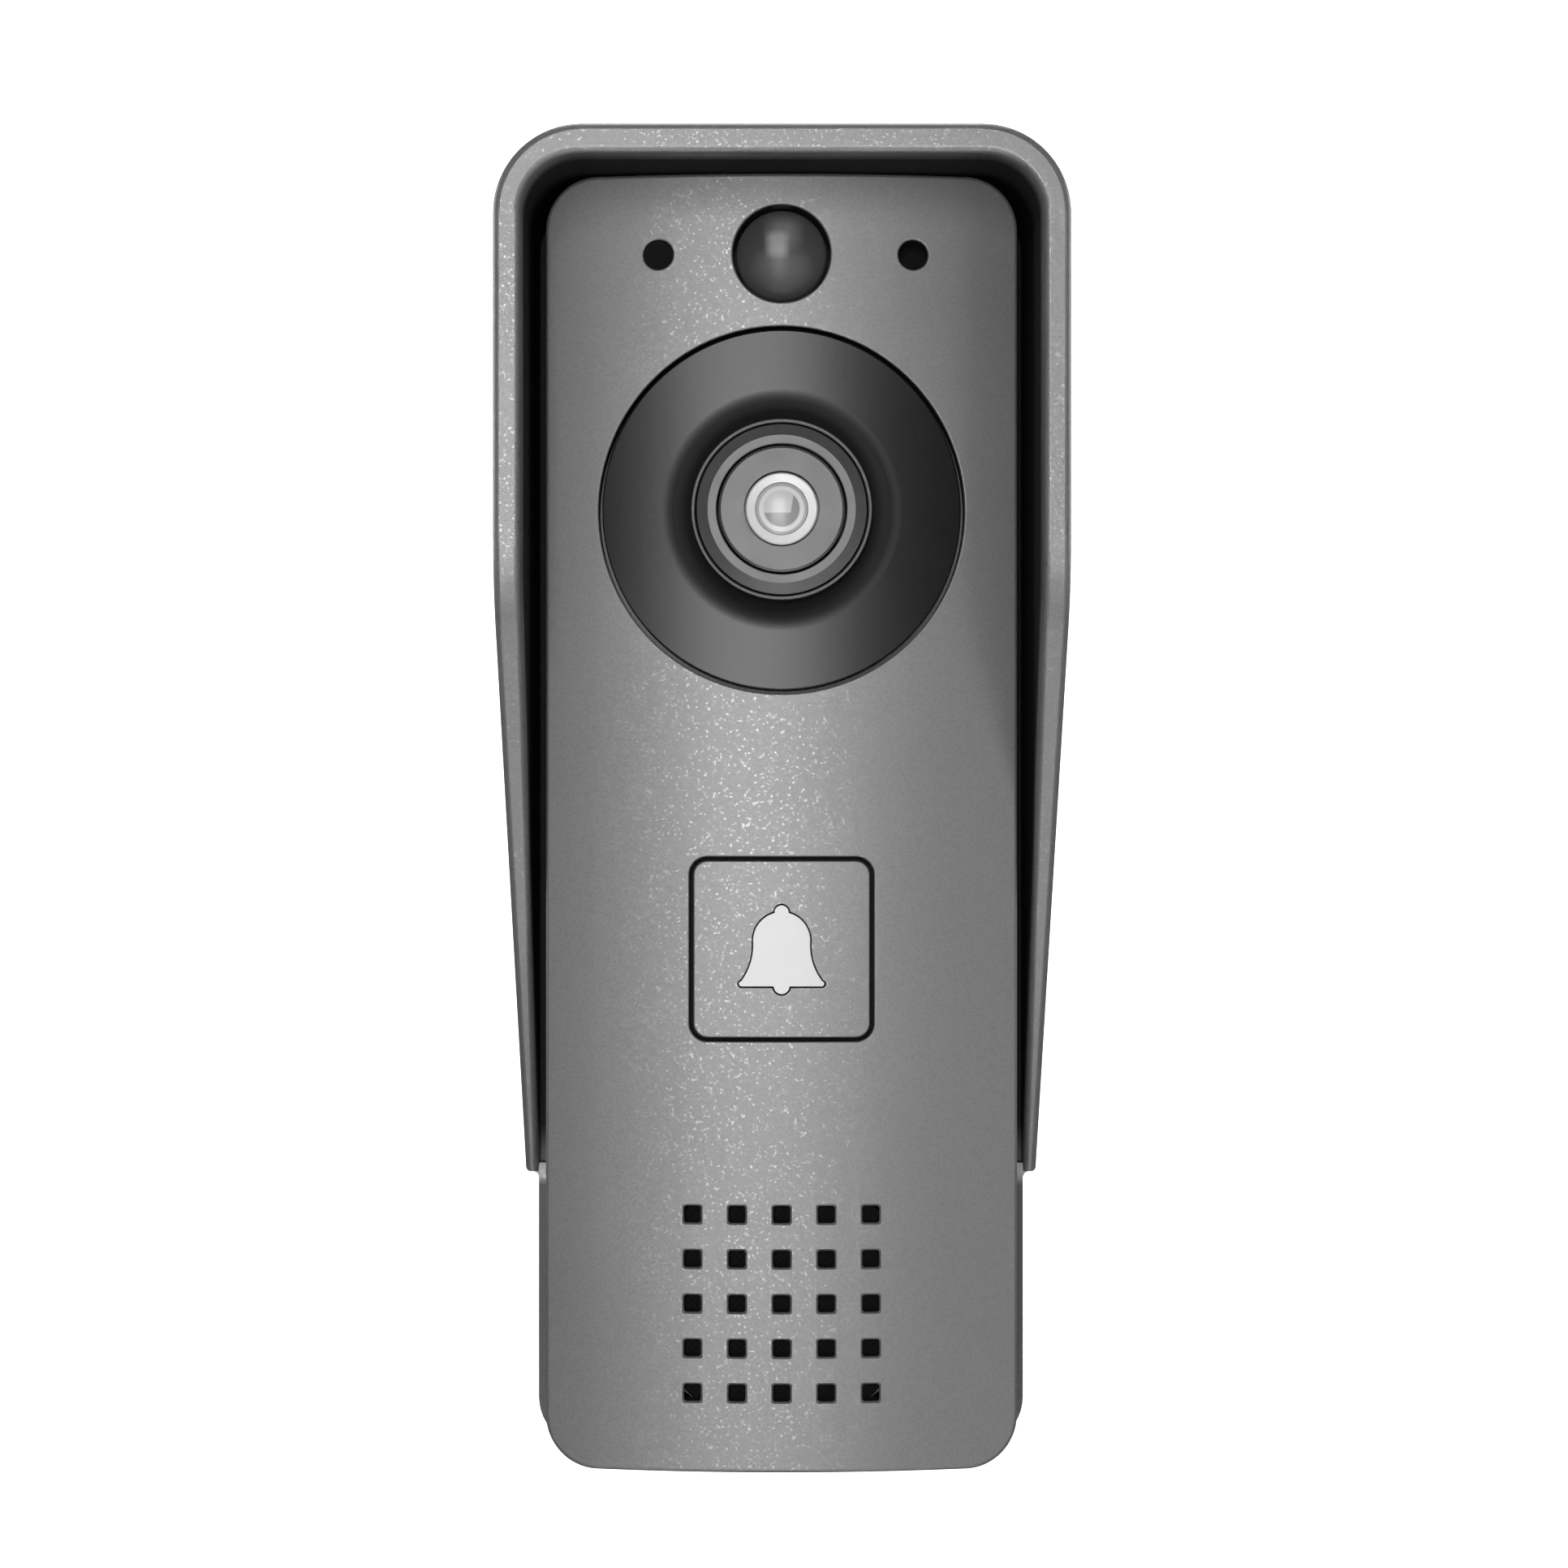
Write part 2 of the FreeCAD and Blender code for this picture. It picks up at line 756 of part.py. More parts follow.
def front_plate():
    body = slab(-half_width, half_width, bottom, top, plate_corner, plate_rim_depth, front + past)
    body = body.common(crowned(0))
    rim = [e for e in body.Edges if on_crown(e)]
    body = body.makeFillet(plate_edge_round, rim)
    inner_half = half_width - plate_rim_wall
    inner_top = top - plate_rim_wall
    hollow = slab(-inner_half, inner_half, -inner_top, inner_top, plate_corner - plate_rim_wall,
                  plate_rim_depth - past, front + past)
    body = body.cut(hollow.common(crowned(plate_skin)))
    posts = [rod(x, z, radius, rear, front) for x, z, radius, rear in plate_bosses()]
    body = fused([body] + [post.common(crowned(plate_skin / 2)) for post in posts])

    # openings in the face
    cutters = [
        rod(0, camera_z, camera_hole, plate_rim_depth, front + past),
        rod(0, row_z, pir_hole, plate_rim_depth, front + past),
        rod(light_port_x, row_z, small_port, light_boss_depth - past, front + past),
        rod(mic_port_x, row_z, small_port, plate_rim_depth, front + past),
        square_hole(0, key_z, key_opening, key_opening_corner),
    ]
    for cutter in cutters:
        body = body.cut(cutter)
    holes = [e for e in body.Edges if on_crown(e) and away_from_rim(e.BoundBox)]
    body = body.makeFillet(hole_edge_round, holes)
    for x, z in grille_places():
        body = body.cut(grille_slot(x, z))

    # pilot holes and the seats behind the two ports
    body = body.cut(rod(mic_port_x, row_z, mic_boot_radius + thread_clearance,
                        mic_boss_depth, mic_mesh_depth + mic_mesh_thickness))
    pilot = housing_screw[0] + thread_clearance
    body = screw_holes(body, four_corners(boss_x, (-boss_z, boss_z)), pilot,
                       boss_front_depth, plate_rim_depth)
    frame_pilot_end = crown_depth(frame_outer, plate_skin) - pilot_floor
    body = screw_holes(body, four_corners(frame_screw_x(), (key_z,)),
                       frame_screw[0] + thread_clearance, frame_rear, frame_pilot_end)
    clamp_pilot_end = crown_depth(clamp_ear_x, plate_skin) - speaker_pilot_floor
    return screw_holes(body, four_corners(clamp_ear_x, (speaker_z,)),
                       speaker_screw[0] + thread_clearance, speaker_rim_depth, clamp_pilot_end)


def away_from_rim(span):
    """Whether a span lies well inside the plate's outline."""
    margin = 2 * plate_edge_round
    across = max(-span.XMin, span.XMax) < half_width - margin
    return across and max(-span.ZMin, span.ZMax) < top - margin


def on_crown(edge):
    """Whether an edge bounds the crowned face: every point of it is on the crown's cylinder."""
    first, last = edge.FirstParameter, edge.LastParameter
    for share in (0.0, 0.31, 0.5, 0.77, 1.0):
        point = edge.valueAt(first + share * (last - first))
        if abs(math.hypot(point.x, -point.y - crown_axis) - crown_radius) > 1e-4:
            return False
    return True


# ---------------------------------------------------------------- rear housing
def housing_ring(from_outside, width, rear, fore):
    """A closed band that follows the housing's outline."""
    out_half = housing_half - from_outside
    out_top = housing_top - from_outside
    corner = plate_corner - housing_inset - from_outside
    outer = slab(-out_half, out_half, -out_top, out_top, corner, rear, fore)
    inner = slab(width - out_half, out_half - width, width - out_top, out_top - width,
                 corner - width, rear, fore)
    return outer.cut(inner)


def rear_housing():
    shell = housing_ring(0, housing_wall, back_thickness, housing_front)
    corner = plate_corner - housing_inset
    floor = slab(-housing_half, housing_half, -housing_top, housing_top, corner,
                 back_thickness, floor_front)
    solids = [shell, floor]
    for x, z in four_corners(boss_x, (-boss_z, boss_z)):
        solids.append(rod(x, z, boss_radius + boss_sleeve, back_thickness, boss_front_depth))
    for x, z in four_corners(board_screw_x, board_screw_rows):
        solids.append(rod(x, z, standoff_radius, back_thickness, board_rear))
    # collar round the terminals, a cap over the hook, and the boss of the security screw
    solids.append(box(-pocket_half_width - pocket_wall, pocket_half_width + pocket_wall,
                      back_thickness, board_rear - pocket_board_gap,
                      pocket_bottom - pocket_wall, pocket_top + pocket_wall))
    slot_half = hook_half_width + hook_clearance
    slot_low = hook_z - hook_stem
    slot_high = slot_low + hook_stem + hook_overlap + hook_clearance
    cap_front = floor_front + hook_clearance * 2 + hook_lip
    cap_low = slot_low - hook_overlap - hook_clearance
    cap_wall = hook_pocket_wall
    solids.append(box(-slot_half - cap_wall, slot_half + cap_wall, back_thickness, cap_front + cap_wall,
                      cap_low - cap_wall, slot_high + cap_wall))
    solids.append(box(-foot_boss_half_width, foot_boss_half_width, back_thickness, tab_depth,
                      foot_bottom(), foot_bottom() + foot_boss_height))
    body = fused(solids)

    body = body.cut(box(-pocket_half_width, pocket_half_width, 0, board_rear, pocket_bottom, pocket_top))
    body = body.cut(box(-slot_half, slot_half, 0, floor_front, slot_low - thread_clearance, slot_high))
    body = body.cut(box(-slot_half, slot_half, floor_front, cap_front, cap_low, slot_high))
    body = body.cut(housing_ring(seal_from_outside, seal_width, housing_front - seal_height, housing_front))
    for x, z in four_corners(boss_x, (-boss_z, boss_z)):
        body = body.cut(rod(x, z, housing_screw[0] + hole_clearance, 0, boss_front_depth))
        body = body.cut(rod(x, z, housing_screw[1] + hole_clearance, 0, screw_seat()))
    for x, z in four_corners(board_screw_x, board_screw_rows):
        body = body.cut(rod(x, z, board_screw[0] + thread_clearance, floor_front, board_rear))
    insert_seat = Part.makeCylinder(insert_radius, insert_length + past,
                                    at(0, security_screw_depth, foot_bottom()))
    return body.cut(insert_seat)


def screw_seat():
    """Where the heads of the housing screws rest, sunk below the rear face."""
    return back_thickness + housing_screw_sink


def housing_seal():
    return housing_ring(seal_from_outside, seal_width, housing_front - seal_height, housing_front)


def housing_screws():
    return group([screw(x, z, housing_screw, screw_seat())
                  for x, z in four_corners(boss_x, (-boss_z, boss_z))])


# ---------------------------------------------------------------- sensor row
def pir_dome():
    """Thin moulded cap: a shallow dome on a short tube with a flange behind the plate."""
    rise = pir_dome_rise
    sphere_radius = (pir_radius ** 2 + rise ** 2) / (2 * rise)
    crest = front + pir_proud
    outer = rod(0, row_z, pir_radius, pir_flange_depth, crest)
    outer = outer.common(Part.makeSphere(sphere_radius, at(0, crest - sphere_radius, row_z)).fuse(
        rod(0, row_z, pir_radius, pir_flange_depth, crest - rise)))
    flange = rod(0, row_z, pir_flange, pir_flange_depth, pir_flange_depth + pir_flange_thickness)
    inner_radius = pir_radius - pir_shell
    inner = rod(0, row_z, inner_radius, pir_flange_depth - past, crest)
    inner_sphere = Part.makeSphere(sphere_radius - pir_shell, at(0, crest - sphere_radius, row_z))
    inner = inner.common(inner_sphere.fuse(
        rod(0, row_z, inner_radius, pir_flange_depth - past, crest - rise)))
    return fused([outer, flange]).cut(inner)


def crowned_ring(z, outer, inner, rear, below):
    """A washer with a flat back, cut to lie against the inside of the crowned skin."""
    return tube(0, z, outer, inner, rear, front).common(crowned(below))


def pir_seal():
    return crowned_ring(row_z, pir_flange, pir_hole, pir_flange_depth + pir_flange_thickness, plate_skin)


def pir_sensor():
    base_rear = pir_can_depth - pir_base_height
    base = rod(0, row_z, pir_base_radius, base_rear, pir_can_depth)
    can = rod(0, row_z, pir_can_radius, pir_can_depth, pir_can_depth + pir_can_height)
    pins = []
    for turn in (90, 210, 330):
        x = pir_pin_ring * math.cos(math.radians(turn))
        z = row_z + pir_pin_ring * math.sin(math.radians(turn))
        pins.append(rod(x, z, pin_radius, board_front, base_rear))
    return fused([base, can] + pins)


def light_sensor_window():
    """Light pipe from the left port to the photocell, with a shoulder behind its collar."""
    x = light_port_x
    radius = small_port - light_pipe_clearance
    pipe = rod(x, row_z, radius, light_pipe_rear, crown_depth(x) - light_pipe_recess)
    shoulder = rod(x, row_z, light_boss_radius, light_boss_depth - light_shoulder, light_boss_depth)
    return fused([pipe, shoulder])


def photocell():
    half = photocell_half
    return box(light_port_x - half, light_port_x + half, board_front, board_front + photocell_height,
               row_z - half, row_z + half)


def microphone_mesh():
    return rod(mic_port_x, row_z, mic_boot_radius, mic_mesh_depth, mic_mesh_depth + mic_mesh_thickness)


def mic_nose():
    """Depth where the capsule's face meets the boot's nose."""
    return mic_mesh_depth - mic_boot_nose


def microphone_boot():
    body = rod(mic_port_x, row_z, mic_boot_radius, mic_boot_rear, mic_mesh_depth)
    body = body.cut(rod(mic_port_x, row_z, mic_capsule_radius, mic_boot_rear, mic_nose()))
    return body.cut(rod(mic_port_x, row_z, mic_port_radius, mic_nose(), mic_mesh_depth))


def microphone_capsule():
    rear = mic_nose() - mic_capsule_height
    can = rod(mic_port_x, row_z, mic_capsule_radius, rear, mic_nose())
    pins = [rod(mic_port_x + offset, row_z, pin_radius, board_front, rear)
            for offset in (-mic_pin_offset, mic_pin_offset)]
    return fused([can] + pins)


# ---------------------------------------------------------------- camera
def camera_posts():
    """Centres of the four posts that carry the camera board."""
    return [(x, camera_z + z) for x in (-post_reach, post_reach) for z in (-post_reach, post_reach)]


def on_moat_brim(edge):
    """Whether an edge lies where the moat's slope meets the crowned face."""
    middle = edge.valueAt((edge.FirstParameter + edge.LastParameter) / 2)
    reach = math.hypot(middle.x, middle.z - camera_z)
    return (bezel_bore + near < reach < moat_radius + near and -middle.y > front - moat_depth + near
            and not isinstance(edge.Curve, Part.Line))


def camera_bezel():
    flange_front = bezel_rear + bezel_flange_thickness
    disc = rod(0, camera_z, bezel_radius, bezel_rear, front + past).common(crowned(0))
    rim = [e for e in disc.Edges if on_crown(e)]
    disc = disc.makeFillet(hole_edge_round, rim)
    solids = [disc, rod(0, camera_z, bezel_flange, bezel_rear, flange_front)]
    solids += [rod(x, z, post_radius, camera_board_front, bezel_rear) for x, z in camera_posts()]
    body = fused(solids)
    # the soft moat round the lens rings, then the stepped bore that seats them
    body = body.cut(turned(0, camera_z, [(0, front - moat_depth), (bezel_bore, front - moat_depth),
                                         (moat_radius, front), (moat_radius, front + past),
                                         (0, front + past)]))
    body = body.makeFillet(moat_round, [e for e in body.Edges if on_moat_brim(e)])
    body = body.cut(rod(0, camera_z, bezel_bore, bezel_ledge_depth, front + past))
    body = body.cut(rod(0, camera_z, bezel_ledge_bore, bezel_rear, front + past))
    return screw_holes(body, camera_posts(), camera_screw[0] + thread_clearance, camera_board_front,
                       bezel_rear - pilot_floor)


def bezel_seal():
    return crowned_ring(camera_z, bezel_flange, camera_hole, bezel_rear + bezel_flange_thickness, plate_skin)


def lens_trim_ring():
    body = tube(0, camera_z, trim_outer, trim_inner, bezel_ledge_depth, front + trim_proud)
    rim = [e for e in body.Edges if abs(e.CenterOfMass.y + front + trim_proud) < near]
    return body.makeFillet((trim_outer - trim_inner) / 3, rim)


def lens_bevel_ring():
    edge = front + bevel_edge_proud
    crest = front + bevel_proud
    body = turned(0, camera_z, [(bevel_inner, bezel_ledge_depth), (bevel_outer, bezel_ledge_depth),
                                (bevel_outer, edge), (bevel_crest, crest), (bevel_inner, crest)])
    soft = [e for e in body.Edges if e.BoundBox.YLength < near and -e.CenterOfMass.y > edge - near]
    return body.makeFillet(bevel_round, soft)


def lens_barrel():
    """Threaded lens body: a wide head with a gently raised face, and the mouth for the lens."""
    mouth_floor = lens_floor()
    spacer_rear = mouth_floor - front_lens_thickness - spacer_height
    lens_rear = spacer_rear - rear_lens_thickness
    return turned(0, camera_z, [
        (barrel_rear_bore, barrel_rear), (barrel_thread, barrel_rear), (barrel_thread, barrel_head_rear),
        (barrel_head, barrel_head_rear), (barrel_head, front + barrel_edge_proud),
        (barrel_head - barrel_rim, front + barrel_proud - barrel_rim_drop),
        (barrel_mouth, front + barrel_proud),
        (barrel_mouth, mouth_floor), (rear_lens_radius + lens_gap, mouth_floor),
        (rear_lens_radius + lens_gap, lens_rear), (barrel_rear_bore, lens_rear)])


def lens_floor():
    """Depth of the seat at the bottom of the barrel's mouth."""
    return front + retainer_proud - retainer_height


def lens_retaining_ring():
    crest = front + retainer_proud
    width, height = retainer_chamfer
    return turned(0, camera_z, [(retainer_inner, lens_floor()), (retainer_outer, lens_floor()),
                                (retainer_outer, crest - height), (retainer_outer - width, crest),
                                (retainer_inner, crest - retainer_slope)])


def front_lens():
    """Domed glass held by the retaining ring, on a wider foot below it."""
    radius = retainer_inner - lens_gap
    rise = front_lens_rise
    sphere_radius = (radius ** 2 + rise ** 2) / (2 * rise)
    crest = front + retainer_proud + front_lens_proud
    sphere = Part.makeSphere(sphere_radius, at(0, crest - sphere_radius, camera_z))
    head = rod(0, camera_z, radius, lens_floor(), crest + past).common(sphere)
    foot = rod(0, camera_z, rear_lens_radius, lens_floor() - front_lens_thickness, lens_floor())
    return fused([head, foot])


def lens_spacer():
    fore = lens_floor() - front_lens_thickness
    return tube(0, camera_z, rear_lens_radius, spacer_inner, fore - spacer_height, fore)


def rear_lens():
    fore = lens_floor() - front_lens_thickness - spacer_height
    blank = rod(0, camera_z, rear_lens_radius, fore - rear_lens_thickness, fore)
    hollow = Part.makeSphere(rear_lens_curve, at(0, fore + rear_lens_curve - rear_lens_hollow, camera_z))
    return blank.cut(hollow)


def lens_holder():
    base = box(-holder_half, holder_half, camera_board_front, holder_shoulder,
               camera_z - holder_half, camera_z + holder_half)
    body = fused([base, rod(0, camera_z, holder_tube, camera_board_front, holder_front)])
    cavity = holder_cavity
    body = body.cut(box(-cavity, cavity, camera_board_front, aperture_rear,
                        camera_z - cavity, camera_z + cavity))
    body = body.cut(rod(0, camera_z, holder_aperture, camera_board_front, holder_front))
    return body.cut(rod(0, camera_z, barrel_thread + thread_clearance, filter_rear, holder_front))


def ir_cut_filter():
    return box(-filter_half, filter_half, filter_rear, filter_rear + filter_thickness,
               camera_z - filter_half, camera_z + filter_half)


def image_sensor():
    return box(-sensor_half_width, sensor_half_width, camera_board_front,
               camera_board_front + sensor_thickness,
               camera_z - sensor_half_height, camera_z + sensor_half_height)


def camera_board():
    half = camera_board_half
    body = slab(-half, half, camera_z - half, camera_z + half, post_radius,
                camera_board_rear, camera_board_front)
    return screw_holes(body, camera_posts(), camera_screw[0] + hole_clearance,
                       camera_board_rear, camera_board_front)


def camera_screws():
    return group([screw(x, z, camera_screw, camera_board_rear) for x, z in camera_posts()])


def ir_led_board():
    return tube(0, camera_z, ir_board_outer, holder_tube + hole_clearance, holder_shoulder,
                holder_shoulder + ir_board_thickness)


def ir_leds():
    base = holder_shoulder + ir_board_thickness
    lamps = []
    for i in range(ir_led_count):
        turn = 2 * math.pi * (i + 0.5) / ir_led_count
        x = ir_led_ring * math.cos(turn)
        z = camera_z + ir_led_ring * math.sin(turn)
        lamp = rod(x, z, ir_led_radius, base, base + ir_led_height)
        top_edge = [e for e in lamp.Edges if abs(e.CenterOfMass.y + base + ir_led_height) < near]
        lamps.append(lamp.makeFillet(ir_led_radius / 2, top_edge))
    return group(lamps)


def ir_board_header():
    """Pin strip between the camera board and the lamp ring."""
    x = (holder_half + ir_board_outer) / 2
    return box(x - header_half_width, x + header_half_width, camera_board_front, holder_shoulder,
               camera_z - header_half_height, camera_z + header_half_height)


# ---------------------------------------------------------------- call button
def bell_wire(depth):
    """Outline of the bell about the middle of the key: knob, shoulder, flared lip and clapper."""
    def spot(x, z):
        return at(x, depth, key_z + z)

    (knob_x, knob_z), (lip_x, lip_z) = bell_arcs[0][0], bell_arcs[-1][-1]
    edges = [Part.Arc(spot(-knob_x, knob_z), spot(0, bell_knob_top), spot(knob_x, knob_z)).toShape()]
    for arc in bell_arcs:
        edges.append(Part.Arc(*[spot(*p) for p in arc]).toShape())
    edges.append(Part.makeLine(spot(lip_x, lip_z), spot(clapper_half, lip_z)))
    clapper = [spot(clapper_half, lip_z), spot(0, clapper_low), spot(-clapper_half, lip_z)]
    edges.append(Part.Arc(*clapper).toShape())
    edges.append(Part.makeLine(spot(-clapper_half, lip_z), spot(-lip_x, lip_z)))
    for arc in reversed(bell_arcs):
        edges.append(Part.Arc(*[spot(-x, z) for x, z in reversed(arc)]).toShape())
    return Part.Wire(edges)


def call_key():
    """The key's cap, flush with the plate, and the flange that keeps it in."""
    half = key_half
    corner = key_opening_corner - key_gap
    cap = slab(-half, half, key_z - half, key_z + half, corner, key_flange_rear, front + past)
    cap = cap.common(crowned(0))
    cap = cap.makeFillet(hole_edge_round, [e for e in cap.Edges if on_crown(e)])
    wide = key_flange_half
    flange = slab(-wide, wide, key_z - wide, key_z + wide, key_opening_corner, key_flange_rear, front)
    flange = flange.common(crowned(plate_skin + key_flange_clearance))
    body = fused([cap, flange])
    window = bell_wire(key_flange_rear).makeOffset2D(bell_gap)
    return body.cut(Part.Face(window).extrude(at(0, front + past - key_flange_rear, 0)))


def bell_light_guide():
    """Clear guide: the bell that shows in the key, a disc behind the key, and the plunger."""
    bell = Part.Face(bell_wire(guide_disc_rear + guide_disc_thickness / 2)).extrude(at(0, front, 0))
    bell = bell.common(crowned(0))
    disc = rod(0, key_z, guide_disc, guide_disc_rear, key_flange_rear)
    plunger = rod(0, key_z, plunger_radius, plunger_rear, guide_disc_rear)
    return fused([bell, disc, plunger])


def key_frame():
    """Square cup behind the key, open at the front, with an ear at each side."""
    body = slab(-frame_outer, frame_outer, key_z - frame_outer, key_z + frame_outer,
                key_opening_corner + frame_wall, frame_rear, front)
    reach = frame_screw_x()
    ear_front = frame_floor_front + frame_ear_thickness
    ears = [rod(side * reach, key_z, frame_ear_radius, frame_floor_front, ear_front) for side in (-1, 1)]
    bridge = box(-reach, reach, frame_floor_front, ear_front,
                 key_z - frame_ear_radius, key_z + frame_ear_radius)
    body = fused([body, bridge] + ears)
    hollow = slab(-frame_inner, frame_inner, key_z - frame_inner, key_z + frame_inner,
                  key_opening_corner, frame_floor_front, front)
    body = body.cut(hollow).common(crowned(plate_skin))
    body = body.cut(rod(0, key_z, frame_floor_hole, frame_rear, frame_floor_front))
    body = screw_holes(body, light_hole_places(), light_hole_radius, frame_rear, frame_floor_front)
    return screw_holes(body, four_corners(reach, (key_z,)), frame_screw[0] + hole_clearance,
                       frame_rear, front)


def light_hole_places():
    """Places of the backlight lamps round the switch."""
    step = light_hole_ring / math.sqrt(2)
    return [(x, key_z + z) for x in (-step, step) for z in (-step, step)]


def key_frame_screws():
    return group([screw(x, z, frame_screw, frame_floor_front)
                  for x, z in four_corners(frame_screw_x(), (key_z,))])


def key_seal():
    return tube(0, key_z, key_seal_outer, plunger_radius + seal_lip_clearance,
                frame_floor_front, frame_floor_front + key_seal_thickness)


def tact_switch_body():
    body = box(-switch_half, switch_half, board_front, board_front + switch_height,
               key_z - switch_half, key_z + switch_half)
    well = rod(0, key_z, switch_stem_radius + switch_stem_clearance,
               board_front + switch_height - switch_cup_height, board_front + switch_height)
    return body.cut(well)


def tact_switch_stem():
    return rod(0, key_z, switch_stem_radius, switch_stem_front - switch_stem_length, switch_stem_front)


def backlight_leds():
    size = backlight_half
    return group([box(x - size, x + size, board_front, board_front + backlight_height, z - size, z + size)
                  for x, z in light_hole_places()])


# ---------------------------------------------------------------- loudspeaker
def speaker_mesh():
    """Fine mesh that lies against the inside of the skin, behind the slots."""
    disc = rod(0, speaker_z, speaker_radius, plate_rim_depth, front).common(crowned(plate_skin))
    return disc.cut(crowned(plate_skin + mesh_thickness))


def speaker_gasket():
    return crowned_ring(speaker_z, speaker_radius, speaker_radius - gasket_width, speaker_rim_front,
                        plate_skin + mesh_thickness)


def speaker_basket():
    rim_rear = speaker_rim_depth
    rim_front = speaker_rim_front
    inner = speaker_radius - speaker_rim_width
    wall = basket_wall
    tag = box(lead_x - lead_tag_half, lead_x + lead_tag_half, basket_rear_depth, basket_rear_depth + wall,
              speaker_z, speaker_z + lead_tag_reach)
    tag = tag.cut(rod(0, speaker_z, basket_rear_radius - wall, 0, front))
    basket = turned(0, speaker_z, [
        (inner, rim_front), (speaker_radius, rim_front), (speaker_radius, rim_rear),
        (inner + wall, rim_rear), (basket_rear_radius, basket_rear_depth),
        (basket_window, basket_rear_depth),
        (basket_window, basket_rear_depth + wall), (basket_rear_radius - wall / 2, basket_rear_depth + wall),
        (inner, rim_rear + wall / 2)])
    return fused([basket, tag])


def speaker_cone():
    """Diaphragm: a flat surround, a shallow cone and a raised middle, one thin sheet."""
    outer = speaker_radius - speaker_rim_width - cone_clearance
    drops = [(outer, cone_edge_drop), (outer - cone_roll_width, cone_roll_drop),
             (cone_dome_radius + cone_neck, cone_drop), (cone_dome_radius, cone_drop),
             (cone_dome_radius / 2, cone_dome_shoulder), (0, cone_dome_drop)]
    sheet = [(radius, speaker_rim_front - drop) for radius, drop in drops]
    behind = [(radius, depth - cone_thickness) for radius, depth in reversed(sheet)]
    return turned(0, speaker_z, sheet + behind)


def speaker_coil():
    fore = speaker_rim_front - cone_drop - cone_thickness
    return tube(0, speaker_z, coil_radius, coil_radius - coil_wall, coil_rear, fore)


def speaker_magnet():
    body = rod(0, speaker_z, magnet_radius, magnet_rear, basket_rear_depth)
    groove = tube(0, speaker_z, coil_radius + magnet_gap, coil_radius - coil_wall - magnet_gap,
                  magnet_rear + magnet_yoke, basket_rear_depth)
    return body.cut(groove)


def speaker_clamp():
    rear = speaker_rim_depth - clamp_thickness
    outer = speaker_radius + clamp_overhang
    ears = [rod(side * clamp_ear_x, speaker_z, clamp_ear_radius, rear, speaker_rim_depth)
            for side in (-1, 1)]
    bridge = box(-clamp_ear_x, clamp_ear_x, rear, speaker_rim_depth,
                 speaker_z - clamp_ear_radius, speaker_z + clamp_ear_radius)
    body = fused([rod(0, speaker_z, outer, rear, speaker_rim_depth), bridge] + ears)
    opening = speaker_radius - speaker_rim_width + basket_wall + clamp_clearance
    body = body.cut(rod(0, speaker_z, opening, rear, speaker_rim_depth))
    return screw_holes(body, four_corners(clamp_ear_x, (speaker_z,)), speaker_screw[0] + hole_clearance,
                       rear, speaker_rim_depth)


def speaker_screws():
    return group([screw(x, z, speaker_screw, speaker_rim_depth - clamp_thickness)
                  for x, z in four_corners(clamp_ear_x, (speaker_z,))])


# ---------------------------------------------------------------- main board
def main_board():
    body = slab(-board_half, board_half, board_bottom, board_top, board_corner, board_rear, board_front)
    body = screw_holes(body, four_corners(boss_x, (boss_z,)), boss_radius + boss_sleeve + 2 * hole_clearance,
                       board_rear, board_front)
    return screw_holes(body, four_corners(board_screw_x, board_screw_rows),
                       board_screw[0] + hole_clearance, board_rear, board_front)


def board_screws():
    return group([screw(x, z, board_screw, board_front, forward=False)
                  for x, z in four_corners(board_screw_x, board_screw_rows)])


def on_board(x, z, width, height, thickness):
    """A chip or connector body that stands on the front of the main board."""
    return box(x - width / 2, x + width / 2, board_front, board_front + thickness,
               z - height / 2, z + height / 2)


def board_chips():
    """Processor, memory, video driver, audio amplifier and the power inductor."""
    near_camera = (processor, memory_chip, video_driver)
    chips = [on_board(x, camera_z + rise, *sizes) for x, rise, *sizes in near_camera]
    x, rise, *sizes = amplifier
    chips.append(on_board(x, board_bottom + rise, *sizes))
    inset, rise, *sizes = inductor
    chips.append(on_board(board_screw_x - inset, camera_z + rise, *sizes))
    return group(chips)


def board_capacitors():
    """Two upright cans beside the key frame, above its upper edge."""
    x = capacitor_inset - board_screw_x
    first = key_z + frame_outer + capacitor_gap + capacitor_radius
    return group([rod(x, z, capacitor_radius, board_front, board_front + capacitor_height)
                  for z in (first, first + capacitor_pitch)])


def ribbon_ends():
    """Middle of the camera connector and of the main board's, as (z, depth) where the ribbon enters."""
    middle = ribbon_socket[2] / 2
    upper = (camera_z - camera_board_half + ribbon_inset, camera_board_rear - middle)
    lower = (upper[0] - ribbon_run, board_front + middle)
    return upper, lower


def board_connectors():
    """Camera ribbon sockets on both boards and the loudspeaker socket."""
    upper, lower = ribbon_ends()
    margin, height, thickness = ribbon_socket
    half = ribbon_half_width + margin
    camera_socket = box(-half, half, camera_board_rear - thickness, camera_board_rear,
                        upper[0], upper[0] + height)
    board_socket = box(-half, half, board_front, board_front + thickness, lower[0] - height, lower[0])
    speaker_socket = on_board(lead_x, board_bottom + lead_socket_rise, *lead_socket)
    return group([camera_socket, board_socket, speaker_socket])


